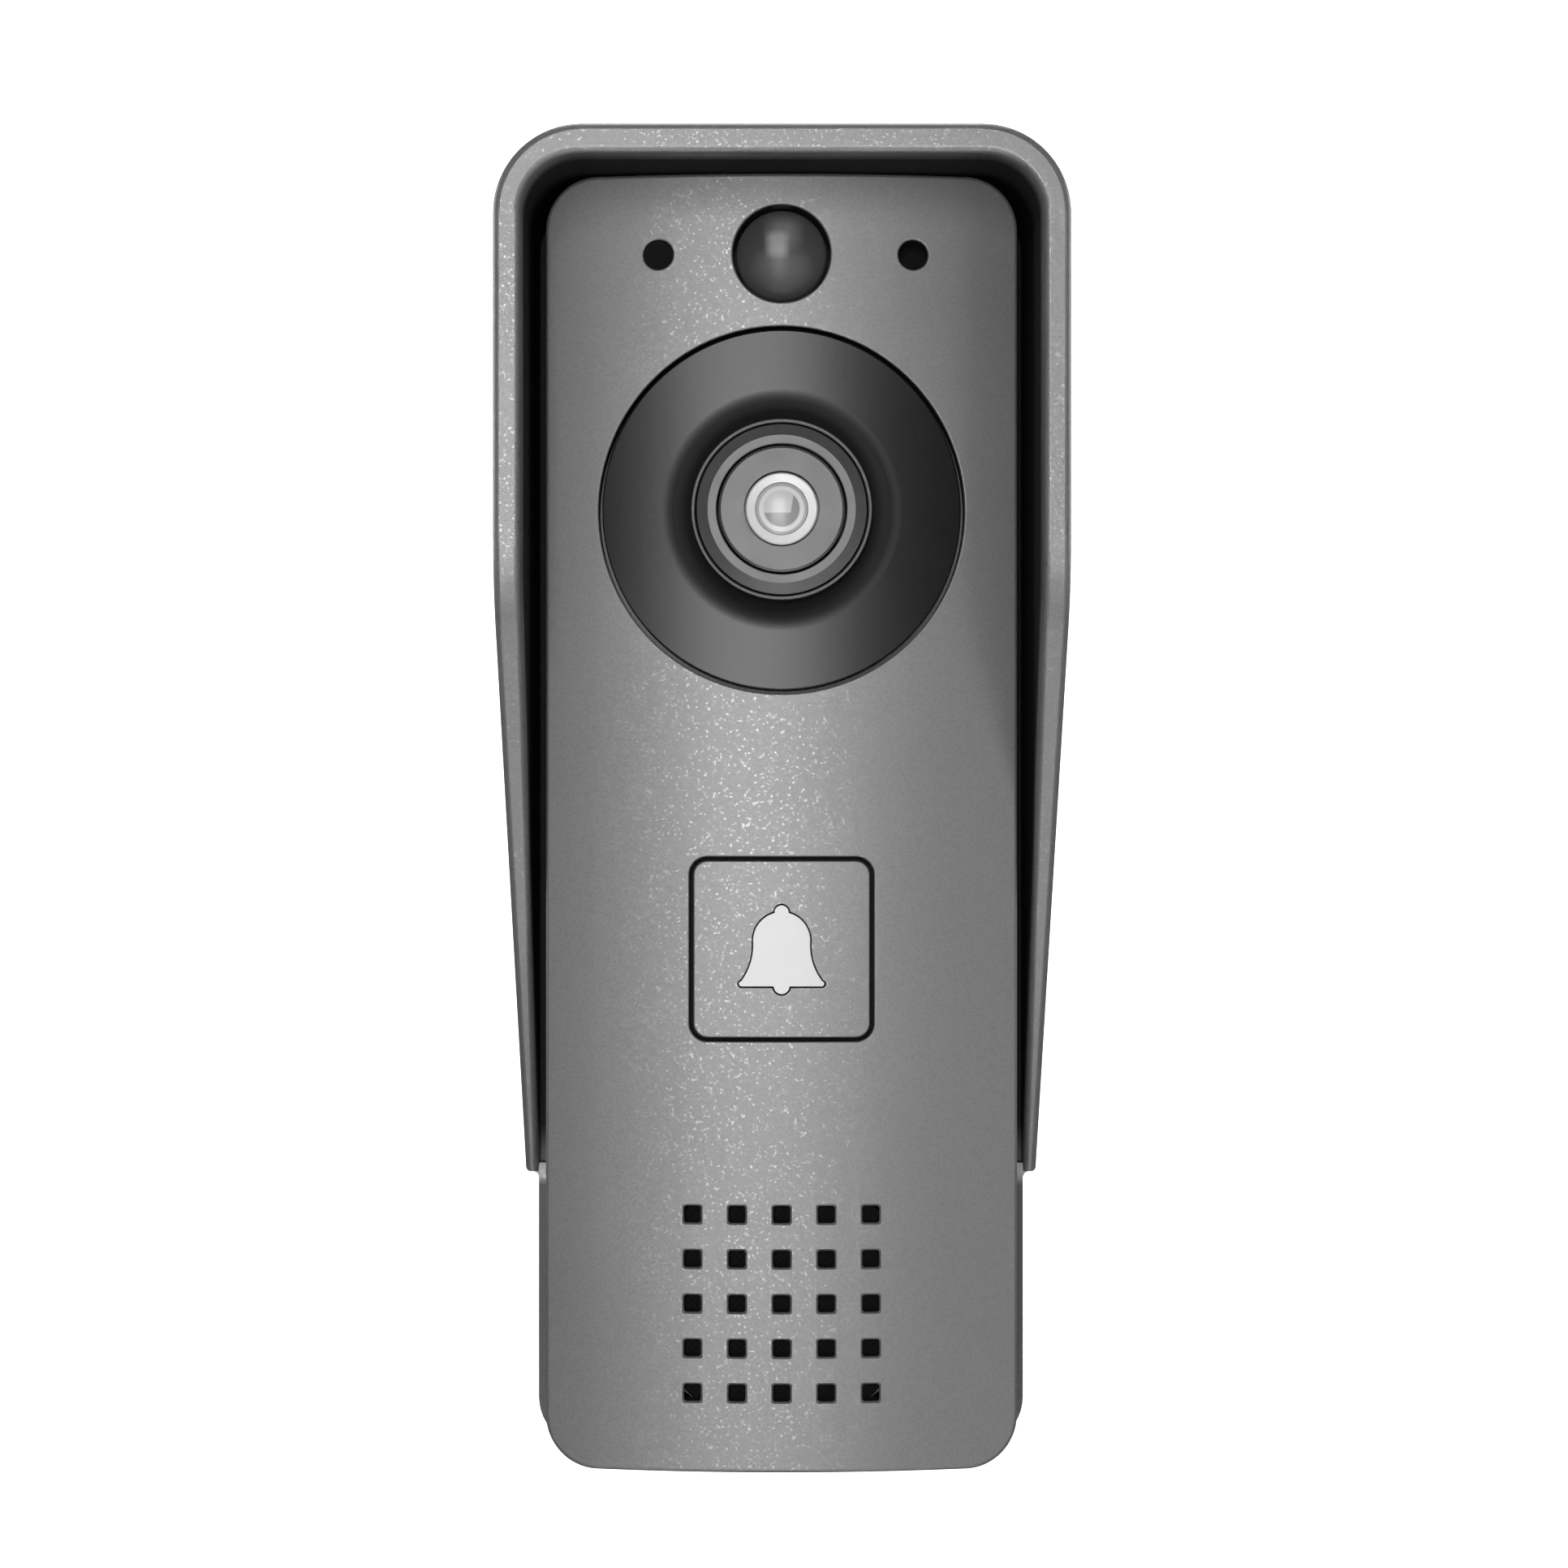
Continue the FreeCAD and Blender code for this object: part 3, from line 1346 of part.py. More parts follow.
def camera_ribbon():
    """Flat cable that steps from the camera board down to the main board in two equal bends."""
    (z0, d0), (z1, d1) = ribbon_ends()
    run, drop = z0 - z1, d0 - d1
    half_turn = math.atan2(drop, run)
    radius = math.hypot(run, drop) / (4 * math.sin(half_turn))

    def bend(offset):
        """The two arcs of one face of the ribbon, moved off the middle line by half its thickness."""
        middle = at(0, (d0 + d1) / 2, (z0 + z1) / 2)
        shift = Vector(0, -offset * math.cos(2 * half_turn), -offset * math.sin(2 * half_turn))
        first = at(0, d0 + offset, z0)
        last = at(0, d1 + offset, z1)
        upper_centre = at(0, d0 - radius, z0)
        lower_centre = at(0, d1 + radius, z1)
        share = Vector(0, -math.cos(half_turn), -math.sin(half_turn))
        arc_one = Part.Arc(first, upper_centre + share * (radius + offset), middle + shift)
        arc_two = Part.Arc(middle + shift, lower_centre - share * (radius - offset), last)
        return first, last, [arc_one.toShape(), arc_two.toShape()]

    half = ribbon_thickness / 2
    a0, a1, face_a = bend(half)
    b0, b1, face_b = bend(-half)
    wire = Part.Wire(Part.__sortEdges__(face_a + face_b + [Part.makeLine(a0, b0), Part.makeLine(a1, b1)]))
    ribbon = Part.Face(wire).extrude(Vector(2 * ribbon_half_width, 0, 0))
    ribbon.translate(Vector(-ribbon_half_width, 0, 0))
    return ribbon


def lead_path(points):
    """Straight runs joined by tangent arcs, each as wide as its two runs allow."""
    edges = []
    last = points[0]
    for before, corner, after in zip(points, points[1:], points[2:]):
        into = Vector(corner - before).normalize()
        out = Vector(after - corner).normalize()
        half_turn = into.getAngle(out) / 2
        tangent = lead_bend_share * min((corner - before).Length, (after - corner).Length)
        bend_radius = tangent / math.tan(half_turn)
        start = corner - into * tangent
        end = corner + out * tangent
        inward = (out - into).normalize()
        middle = corner + inward * (bend_radius / math.cos(half_turn) - bend_radius)
        edges.append(Part.makeLine(last, start))
        edges.append(Part.Arc(start, middle, end).toShape())
        last = end
    edges.append(Part.makeLine(last, points[-1]))
    return Part.Wire(edges)


def speaker_lead():
    """Lead from the tag on the basket up to the socket on the main board."""
    width, height, thickness = lead_socket
    socket_depth = board_front + thickness / 2
    socket_z = board_bottom + lead_socket_rise - height / 2
    tag_depth = basket_rear_depth + basket_wall / 2
    tag_z = speaker_z + lead_tag_reach
    bend = (socket_z - tag_z) * lead_bend_place
    points = [
        at(lead_x, tag_depth, tag_z),
        at(lead_x, tag_depth, tag_z + bend),
        at(lead_x, socket_depth, socket_z - bend),
        at(lead_x, socket_depth, socket_z),
    ]
    path = lead_path(points)
    start = points[0]
    disc = Part.Face(Part.Wire(Part.makeCircle(lead_radius, start, Vector(0, 0, 1))))
    return path.makePipe(disc)


def terminal_xs():
    """Centres of the terminals across the block."""
    return [(i - (terminal_count - 1) / 2) * terminal_pitch for i in range(terminal_count)]


def terminal_block():
    """Screw terminals on the rear of the main board, reached from the wall side."""
    half = terminal_pitch * terminal_count / 2 + terminal_end
    rear = board_rear - terminal_depth
    lower = terminal_z - terminal_half_height
    well_end = rear + terminal_screw_sink + terminal_screw_length
    body = box(-half, half, rear, board_rear, lower, terminal_z + terminal_half_height)
    for x in terminal_xs():
        well = rod(x, terminal_z + terminal_screw_rise, terminal_screw_radius + thread_clearance,
                   rear, well_end)
        entry_start = at(x, rear + wire_entry_depth, lower)
        entry = Part.makeCylinder(wire_entry_radius, wire_entry_length, entry_start)
        body = body.cut(group([well, entry]))
    return body


def terminal_screws():
    rear = board_rear - terminal_depth + terminal_screw_sink
    half_slot, slot_depth = terminal_slot
    z = terminal_z + terminal_screw_rise
    screws = []
    for x in terminal_xs():
        body = rod(x, z, terminal_screw_radius, rear, rear + terminal_screw_length)
        slot = box(x - terminal_screw_radius, x + terminal_screw_radius, rear, rear + slot_depth,
                   z - half_slot, z + half_slot)
        screws.append(body.cut(slot))
    return group(screws)


# ---------------------------------------------------------------- write every node
nodes = (
    rain_hood, cable_grommet, security_screw, brass_insert,
    front_plate, rear_housing, housing_seal, housing_screws,
    pir_dome, pir_seal, pir_sensor, light_sensor_window, photocell,
    microphone_mesh, microphone_boot, microphone_capsule,
    camera_bezel, bezel_seal, lens_trim_ring, lens_bevel_ring, lens_barrel, lens_retaining_ring,
    front_lens, lens_spacer, rear_lens, lens_holder, ir_cut_filter, image_sensor,
    camera_board, camera_screws, ir_led_board, ir_leds, ir_board_header,
    call_key, bell_light_guide, key_frame, key_frame_screws, key_seal,
    tact_switch_body, tact_switch_stem, backlight_leds,
    speaker_mesh, speaker_gasket, speaker_basket, speaker_cone, speaker_coil, speaker_magnet,
    speaker_clamp, speaker_screws, speaker_lead,
    main_board, board_screws, board_chips, board_capacitors, board_connectors, camera_ribbon,
    terminal_block, terminal_screws,
)

os.makedirs("parts", exist_ok=True)
for node in nodes:
    shape = node()
    shape.exportStep(f"parts/{node.__name__}.step")
    print(node.__name__, "solids", len(shape.Solids), "valid", shape.isValid(),
          "volume", round(shape.Volume, 2))
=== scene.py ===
import math

import bmesh
import bpy
import numpy as np
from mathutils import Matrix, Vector


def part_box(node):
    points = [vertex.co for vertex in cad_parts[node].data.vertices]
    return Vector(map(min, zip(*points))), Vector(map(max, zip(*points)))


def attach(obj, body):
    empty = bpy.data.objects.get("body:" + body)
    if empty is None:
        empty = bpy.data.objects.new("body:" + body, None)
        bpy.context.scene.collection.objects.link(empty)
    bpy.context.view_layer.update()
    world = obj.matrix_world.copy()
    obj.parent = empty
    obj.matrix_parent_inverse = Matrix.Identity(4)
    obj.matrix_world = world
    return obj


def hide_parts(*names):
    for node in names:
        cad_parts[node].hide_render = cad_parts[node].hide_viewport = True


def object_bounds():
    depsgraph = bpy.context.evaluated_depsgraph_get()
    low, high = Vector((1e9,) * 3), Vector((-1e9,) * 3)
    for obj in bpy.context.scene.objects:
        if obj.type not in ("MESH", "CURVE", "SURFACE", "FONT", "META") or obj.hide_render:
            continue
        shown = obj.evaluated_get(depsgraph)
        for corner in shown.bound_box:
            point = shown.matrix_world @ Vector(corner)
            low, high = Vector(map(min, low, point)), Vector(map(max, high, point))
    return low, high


bl_info = {
    "name": "Door station",
    "version": (1, 0, 0),
    "blender": (4, 5, 0),
    "location": "View3D > Sidebar > Door station",
    "description": "Finishes, smooth glasses and a studio for a wall-mounted door station",
    "category": "Object",
}

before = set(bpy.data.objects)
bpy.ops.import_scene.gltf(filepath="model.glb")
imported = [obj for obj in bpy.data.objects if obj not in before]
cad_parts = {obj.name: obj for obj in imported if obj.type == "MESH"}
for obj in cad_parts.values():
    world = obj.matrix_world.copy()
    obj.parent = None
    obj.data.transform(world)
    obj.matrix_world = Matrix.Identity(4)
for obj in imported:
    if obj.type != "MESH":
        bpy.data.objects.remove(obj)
CAD_BOX = [list(corner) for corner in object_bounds()]
MM = 0.001
MICRON = 0.001 * MM
FULL_TURN = 2.0 * math.pi


# ------------------------------------------------------------ places taken from the frame
def middle(node):
    """Centre of a node's box at rest."""
    low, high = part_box(node)
    return (low + high) / 2


PLATE_LOW, PLATE_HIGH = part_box("front_plate")
LENS = middle("lens_barrel")
DOME = middle("pir_dome")
KEY = middle("call_key")
SPEAKER = middle("speaker_basket")
FACE = -PLATE_LOW.y
CROWN = 2.64 * MM
CROWN_CURVE = (PLATE_HIGH.x ** 2 + CROWN ** 2) / (2.0 * CROWN)

# The hood's inner surface: where its walls, roof and sloped arm fronts lie, and where painted shade takes
# over from its paint colour.
ROOF_SLOPE = math.tan(math.radians(5.5))
ROOF_THICKNESS = 3.17 * MM
ARM_KINK = PLATE_HIGH.z - 46.1 * MM
ARM_SLOPE = 0.54
TRAY_TOP = PLATE_LOW.z + 28.0 * MM
# Share of painted shade on the tray below the arms.
TRAY_SHADE = 0.6

# The matt moat round the camera's rings, in millimetres from the axis.
MOAT_INSIDE, MOAT_OUTSIDE = 11.9, 13.2


# ------------------------------------------------------------ sizes and colours a user may change
def colour(name, description, value):
    """A colour property in linear light."""
    return bpy.props.FloatVectorProperty(name=name, description=description, subtype="COLOR", size=3,
                                         min=0.0, max=1.0, default=value)


def length(name, description, value):
    """A length property in metres."""
    return bpy.props.FloatProperty(name=name, description=description, unit="LENGTH", precision=5,
                                   min=0.0, default=value)


def power(name, description, value):
    """A light's power in watts."""
    return bpy.props.FloatProperty(name=name, description=description, unit="POWER", min=0.0, default=value)


def share(name, description, value):
    """A property between nothing and all."""
    return bpy.props.FloatProperty(name=name, description=description, subtype="FACTOR",
                                   min=0.0, max=1.0, default=value)


class StationPaint(bpy.types.PropertyGroup):
    """Colours and grain of the painted and moulded outside."""
    hood_colour: colour("Hood", "Base colour of the rain hood", (0.20, 0.20, 0.20))
    plate_colour: colour("Plate", "Base colour of the front plate and the key", (0.18, 0.18, 0.18))
    bezel_colour: colour("Bezel", "Smoked plastic round the camera", (0.008, 0.008, 0.008))
    bell_colour: colour("Bell", "Milky plastic of the bell in the key", (0.56, 0.56, 0.56))
    housing_colour: colour("Housing", "Moulded housing behind the plate", (0.018, 0.018, 0.019))
    flake: length("Flake", "Width of one fleck in the metallic paint", 0.00022)
    peel: length("Paint ripple", "Width of the gentle ripple in the lacquer", 0.0014)
    edge_wear: share("Edge wear", "How far the edges are rubbed brighter", 0.25)


class StationGlass(bpy.types.PropertyGroup):
    """Shape of the smooth glasses and of the loudspeaker cloth."""
    segments: bpy.props.IntProperty(name="Segments", description="Steps round a turned piece", min=24,
                                    max=256, default=128)
    # Colour of the lens's painted reflection.
    lens_reflection_colour: colour("Lens tint", "Colour of the light that the coated lens sends back",
                      (0.72, 0.72, 0.73))
    dome_colour: colour("Dome", "Infrared-clear plastic of the presence sensor", (0.05, 0.05, 0.051))
    cloth_pitch: length("Cloth pitch", "Distance between two threads of the loudspeaker cloth", 0.0008)
    cloth_relief: length("Cloth relief", "How far a thread stands above the gap beside it", 0.00008)


class StationStudio(bpy.types.PropertyGroup):
    """Camera and lights."""
    lens: bpy.props.FloatProperty(name="Focal length", description="Focal length on a 36 mm sensor",
                                  unit="CAMERA", default=58.3)
    distance: length("Camera distance", "From the wall face to the camera", 0.304)
    height: length("Camera height", "How far above the plate's middle the camera stands", 0.00346)
    front_power: power("Front light", "Power of the large front light", 5.3)
    fill_power: power("Fill light", "Power of the front light that shines past the hood", 4.1)
    right_power: power("Right light", "Power of the tall light at the right", 1.2)
    low_power: power("Low light", "Power of the light in front and below", 2.5)
    rim_power: power("Rim lights", "Power of each light beside, above and behind", 3.0)
    world: share("Surroundings", "Brightness of the grey room", 0.10)


# ------------------------------------------------------------ shader maths
class Wire:
    """An output socket that can stand in a sum, and adds the Math nodes that the sum needs."""

    def __init__(self, paint, socket):
        self.paint = paint
        self.socket = socket

    def math(self, operation, *others):
        """One Math node on this value and the others."""
        node = self.paint.node("Math", {"operation": operation}, dict(enumerate((self, *others))))
        return Wire(self.paint, node.outputs[0])

    def __add__(self, other):
        return self.math("ADD", other)

    def __radd__(self, other):
        return self.math("ADD", other)

    def __sub__(self, other):
        return self.math("SUBTRACT", other)

    def __rsub__(self, other):
        return (self * -1.0).math("ADD", other)

    def __mul__(self, other):
        return self.math("MULTIPLY", other)

    def __rmul__(self, other):
        return self.math("MULTIPLY", other)

    def __truediv__(self, other):
        return self.math("DIVIDE", other)

    def __pow__(self, other):
        return self.math("POWER", other)

    def clamp(self):
        """The value held between 0 and 1."""
        return self.math("MAXIMUM", 0.0).math("MINIMUM", 1.0)

    def step(self, start, end):
        """0 below start, 1 above end, and a straight climb between them."""
        return ((self - start) * (1.0 / (end - start))).clamp()

    def band(self, start, end, soft):
        """1 between start and end, 0 outside, with climbs twice as wide as soft."""
        return self.step(start - soft, start + soft) * (1.0 - self.step(end - soft, end + soft))


class Paint:
    """One material, built around a Principled shader."""

    def __init__(self, name):
        self.material = bpy.data.materials.new(name)
        self.material.use_nodes = True
        self.tree = self.material.node_tree
        self.tree.nodes.clear()
        self.shader = self.node("BsdfPrincipled", {}, {})
        out = self.node("OutputMaterial", {}, {})
        self.tree.links.new(self.shader.outputs[0], out.inputs["Surface"])
        self.place = Wire(self, self.node("TexCoord", {}, {}).outputs["Object"])

    def node(self, kind, settings, inputs):
        """A node of one type, with its settings made first and then its sockets' values or links."""
        node = self.tree.nodes.new("ShaderNode" + kind)
        for name, value in settings.items():
            setattr(node, name, value)
        for name, value in inputs.items():
            if isinstance(value, Wire):
                self.tree.links.new(value.socket, node.inputs[name])
            else:
                node.inputs[name].default_value = value
        return node

    def set(self, **values):
        """Sets or links the shader's own sockets; an underscore stands for a space."""
        for name, value in values.items():
            socket = self.shader.inputs[name.replace("_", " ")]
            if isinstance(value, Wire):
                self.tree.links.new(value.socket, socket)
            else:
                socket.default_value = value
        return self

    def noise(self, width, detail=2.0, roughness=0.5, place=None):
        """Cloudy noise whose blots are about one width across, from 0 to 1."""
        node = self.node("TexNoise", {}, {"Vector": place or self.place, "Scale": 1.0 / width,
                                          "Detail": detail, "Roughness": roughness})
        return Wire(self, node.outputs["Fac"])

    def cells(self, width):
        """A random grey for each small cell, as of flakes in a paint."""
        node = self.node("TexVoronoi", {"feature": "F1"}, {"Vector": self.place, "Scale": 1.0 / width})
        split = self.node("SeparateColor", {}, {"Color": Wire(self, node.outputs["Color"])})
        return Wire(self, split.outputs[0])

    def axes(self):
        """The place's three coordinates in metres."""
        split = self.node("SeparateXYZ", {}, {"Vector": self.place})
        return [Wire(self, split.outputs[i]) for i in range(3)]

    def radius(self, centre):
        """Distance in metres from a line that points forward through a centre."""
        x, _, z = self.axes()
        return ((x - centre.x) ** 2.0 + (z - centre.z) ** 2.0) ** 0.5

    def beside(self, centre):
        """How far right of and above a centre a point lies, in millimetres."""
        x, _, z = self.axes()
        return (x - centre.x) * (1.0 / MM), (z - centre.z) * (1.0 / MM)

    def sunk(self):
        """How far a point lies behind the crowned face: the face falls away by x^2 / 2R from its crest."""
        x, y, _ = self.axes()
        return y + FACE - x * x * (0.5 / CROWN_CURVE)

    def edges(self, width):
        """Bright where the surface turns within a width, as along an edge or a corner."""
        bevel = self.node("Bevel", {"samples": 4}, {"Radius": width})
        true = self.node("NewGeometry", {}, {})
        dot = self.node("VectorMath", {"operation": "DOT_PRODUCT"},
                        {0: Wire(self, bevel.outputs[0]), 1: Wire(self, true.outputs["Normal"])})
        return (1.0 - Wire(self, dot.outputs["Value"])).step(0.02, 0.25)

    def mix(self, amount, low, high):
        """A colour between two, each a colour or a wire."""
        inputs = {0: amount, 6: self.solid(low), 7: self.solid(high)}
        node = self.node("Mix", {"data_type": "RGBA", "clamp_factor": True}, inputs)
        return Wire(self, node.outputs[2])

    @staticmethod
    def solid(value):
        """A colour with its alpha, or the wire as it is."""
        return value if isinstance(value, Wire) else (*value, 1.0)

    def bump(self, height, distance, strength=1.0):
        """A relief of the given depth, fed to the shader's normal."""
        node = self.node("Bump", {}, {"Height": height, "Distance": distance, "Strength": strength})
        return self.set(Normal=Wire(self, node.outputs[0]))


def shade(value, amount):
    """A colour made lighter or darker by a share."""
    return tuple(min(1.0, c * amount) for c in value)


# ------------------------------------------------------------ finishes
# Near black painted as shade into the hood's inside, the walls of the openings and the bell's sides.
PAINTED_SHADE_DARK = (0.010, 0.010, 0.010)


def metallic_paint(name, base, props, shade_mask):
    """Satin lacquer over fine flakes: the flakes vary in brightness, the lacquer ripples, edges rub bright.
    The function shade_mask gives where the paint colour is darkened to near black as painted shade, with a
    rougher, duller finish there."""
    paint = Paint(name)
    flakes = paint.cells(props.flake)
    clouds = paint.noise(20 * MM, 3.0)
    glint = flakes.step(0.86, 1.0)
    body = paint.mix(flakes * 0.55 + clouds * 0.3, shade(base, 0.86), shade(base, 1.14))
    rubbed = paint.edges(0.4 * MM) * paint.noise(4 * MM, 4.0).step(0.35, 0.75) * props.edge_wear
    body = paint.mix(rubbed, body, shade(base, 1.9))
    painted_shade = shade_mask(paint)
    left = 1.0 - painted_shade
    # Painted shade: where shade_mask is set, the colour goes to near black.
    body = paint.mix(painted_shade, body, PAINTED_SHADE_DARK)
    paint.set(Base_Color=body, Metallic=(0.35 + glint * 0.4) * left,
              Roughness=0.42 - glint * 0.10 + clouds * 0.05 + painted_shade * 0.4)
    paint.set(Coat_Roughness=0.25, Coat_Weight=left * 0.25, Specular_IOR_Level=0.35)
    return paint.bump(paint.noise(props.peel, 1.0) * 0.6 + flakes * 0.4, 12 * MICRON, 0.5)


def moulded(name, base, rough, grain=0.3 * MM, depth=30 * MICRON, gloss=0.5):
    """Moulded plastic or rubber: a fine spark-eroded grain with dull clouds and rubbed edges."""
    paint = Paint(name)
    texture = paint.noise(grain, 3.0, 0.6)
    clouds = paint.noise(12 * MM, 3.0)
    rubbed = paint.edges(0.3 * MM) * 0.35
    body = paint.mix(texture * 0.5 + clouds * 0.5, shade(base, 0.80), shade(base, 1.20))
    body = paint.mix(rubbed, body, shade(base, 1.7))
    paint.set(Base_Color=body, Roughness=rough + (clouds - 0.5) * 0.14, Specular_IOR_Level=gloss)
    return paint.bump(texture, depth, 0.6)


def smoked(name, base):
    """Smoked gloss plastic: near black with a deep clear surface, the faintest haze, and a matt moat."""
    paint = Paint(name)
    haze = paint.noise(6 * MM, 4.0)
    moat = 1.0 - (paint.radius(LENS) * (1.0 / MM)).step(MOAT_INSIDE, MOAT_OUTSIDE)
    body = paint.mix(haze, shade(base, 0.85), shade(base, 1.15))
    return paint.set(Base_Color=body, Roughness=haze * 0.02 + moat * 0.4 + 0.265, Specular_IOR_Level=0.3)


def turned_metal(name, base, rough, centre, pitch=0.12 * MM, metallic=1.0):
    """Metal turned on a lathe: fine grooves round the axis, a little tarnish between them."""
    paint = Paint(name)
    radius = paint.radius(centre)
    grooves = (radius * (FULL_TURN / pitch)).math("SINE") * 0.5 + 0.5
    tarnish = paint.noise(3 * MM, 4.0)
    body = paint.mix(grooves * 0.4 + tarnish * 0.6, shade(base, 0.86), shade(base, 1.10))
    paint.set(Base_Color=body, Metallic=metallic, Roughness=rough + (tarnish - 0.5) * 0.12)
    return paint.bump(grooves, 3 * MICRON, 0.5)


def plated(name, base, rough=0.28):
    """Plated or drawn metal: soft blotches, fine scratches across, brighter rubbed edges."""
    paint = Paint(name)
    blotches = paint.noise(2 * MM, 4.0)
    stretch = paint.node("Mapping", {}, {"Vector": paint.place, "Scale": (1.0, 1.0, 14.0)})
    scratches = paint.noise(1.2 * MM, 2.0, 0.7, Wire(paint, stretch.outputs[0]))
    body = paint.mix(blotches, shade(base, 0.78), shade(base, 1.12))
    body = paint.mix(paint.edges(0.2 * MM) * 0.4, body, shade(base, 1.35))
    paint.set(Base_Color=body, Metallic=1.0, Roughness=rough + scratches * 0.14)
    return paint.bump(scratches, 8 * MICRON, 0.5)


def milky(name, base):
    """Milky light guide: soft inside clouds, lit faintly from behind and brightest at its middle, with its
    sides below the face painted near black as shade.
    """
    paint = Paint(name)
    clouds = paint.noise(4 * MM, 3.0)
    body = paint.mix(clouds, shade(base, 0.94), shade(base, 1.06))
    # shown marks the bell at the face; below it the sides are painted near black as shade.
    shown = 1.0 - paint.sunk().step(0.10 * MM, 0.25 * MM)
    glow = (1.0 - paint.radius(KEY).step(0.0, 9 * MM) * 0.10) * shown
    lit = paint.mix(glow, (0.0, 0.0, 0.0), base)
    body = paint.mix(shown, PAINTED_SHADE_DARK, body)
    paint.set(Base_Color=body, Roughness=0.32 + clouds * 0.06, Emission_Color=lit, Emission_Strength=0.22)
    return paint.bump(clouds, 10 * MICRON, 0.3)


def circuit_board(name, base):
    """Solder mask: darker laminate with lighter bands where the copper runs below it."""
    paint = Paint(name)
    x, _, z = paint.axes()
    lanes = ((x * 2400.0).math("SINE") * (z * 1700.0).math("SINE")).step(0.35, 0.45)
    weave = paint.noise(0.5 * MM, 2.0)
    body = paint.mix(lanes * 0.8 + weave * 0.2, shade(base, 0.75), shade(base, 1.6))
    paint.set(Base_Color=body, Roughness=0.34 + weave * 0.12, Coat_Weight=0.3)
    return paint.bump(lanes, 30 * MICRON, 0.7)


def cloth(name, base, pitch):
    """Woven cloth: threads over and under along both axes."""
    paint = Paint(name)
    x, _, z = paint.axes()
    turn = FULL_TURN / pitch
    weave = (x * turn).math("SINE") * (z * turn).math("SINE") * 0.5 + 0.5
    fibres = paint.noise(pitch / 6.0, 3.0)
    body = paint.mix(weave * 0.6 + fibres * 0.4, shade(base, 0.5), shade(base, 1.6))
    paint.set(Base_Color=body, Roughness=0.85, Specular_IOR_Level=0.1)
    return paint.bump(fibres, 20 * MICRON, 0.7)


def coated_lens(name, reflected_colour):
    """Coated lens seen straight on: painted reflection, rings of light painted into the base colour as if
    from the glasses stacked behind it. Radii and places are in millimetres from the axis: a core with a
    painted dark wedge at its right and bottom, a seam, then a bright ring."""
    paint = Paint(name)
    radius = paint.radius(LENS) * (1.0 / MM)
    right, up = paint.beside(LENS)
    core = 1.0 - radius.step(1.93, 1.97)
    seam = radius.band(1.98, 2.04, 0.03)
    # Painted dark wedge at the core's right and bottom: the dark edge of the painted reflection.
    painted_dark_wedge = ((right + up * -0.15).step(1.00, 1.10) + (1.0 - up.step(-0.50, -0.40))).clamp()
    light = 1.0 - radius.step(2.42, 2.54) * 0.42 - core * (painted_dark_wedge * 0.40 + 0.22) - seam * 0.25
    body = paint.mix(light, shade(reflected_colour, 0.04), reflected_colour)
    paint.set(Base_Color=body, Roughness=0.30 + radius * 0.004, Specular_IOR_Level=0.4)
    paint.set(Coat_Weight=0.12, Coat_Roughness=0.08)
    return paint.bump(radius.step(2.0, 2.08), 10 * MICRON, 0.3)


def clear_resin(name, base):
    """Clear moulded resin over a pale chip."""
    paint = Paint(name)
    swirl = paint.noise(0.8 * MM, 3.0)
    body = paint.mix(swirl, shade(base, 0.8), base)
    paint.set(Base_Color=body, Roughness=0.08 + swirl * 0.08, Transmission_Weight=0.4)
    return paint.bump(swirl, 10 * MICRON, 0.3)


# ------------------------------------------------------------ surfaces
LENS_NECK_SET_IN = 1.06 * MM
LENS_FOOT = 1.2 * MM
LENS_RISE = 0.45 * MM

DOME_FLANGE = 1.26 * MM
DOME_FLANGE_THICKNESS = 1.2 * MM
DOME_WALL = 1.0 * MM
DOME_RISE = 1.9 * MM

SKIN = 2.0 * MM
CLOTH_RINGS = 74
CLOTH_SPOKES = 240
CLOTH_THICKNESS = 0.17 * MM


def grid_piece(name, points, wrap_u=False, wrap_v=False):
    """A mesh object from a grid of points (rows u, columns v): neighbours are joined by quads, and the
    grid closes on itself along a wrapped direction. Doubles, as at a pole, are merged."""
    rows, columns = points.shape[:2]
    index = np.arange(rows * columns).reshape(rows, columns)
    if wrap_u:
        index = np.vstack([index, index[:1]])
    if wrap_v:
        index = np.hstack([index, index[:, :1]])
    corners = [index[:-1, :-1], index[1:, :-1], index[1:, 1:], index[:-1, 1:]]
    quads = np.stack(corners, axis=-1).reshape(-1, 4)
    mesh = bpy.data.meshes.new(name)
    mesh.from_pydata(points.reshape(-1, 3).tolist(), [], quads.tolist())
    work = bmesh.new()
    work.from_mesh(mesh)
    bmesh.ops.remove_doubles(work, verts=work.verts, dist=1e-7)
    bmesh.ops.dissolve_degenerate(work, dist=1e-8, edges=work.edges)
    bmesh.ops.recalc_face_normals(work, faces=work.faces)
    work.to_mesh(mesh)
    work.free()
    piece = bpy.data.objects.new(name, mesh)
    bpy.context.scene.collection.objects.link(piece)
    mesh.shade_smooth()
    return piece


def turned_piece(name, profile, centre, segments):
    """A closed profile of (radius, depth) points turned about a line that points forward:
    x = cx + r cos t, z = cz + r sin t, y = -depth."""
    radius, depth = np.array(profile).T
    turn = np.linspace(0.0, FULL_TURN, segments, endpoint=False)
    points = np.empty((len(radius), segments, 3))
    points[..., 0] = centre.x + radius[:, None] * np.cos(turn)
    points[..., 1] = -depth[:, None]
    points[..., 2] = centre.z + radius[:, None] * np.sin(turn)
    return grid_piece(name, points, wrap_v=True)


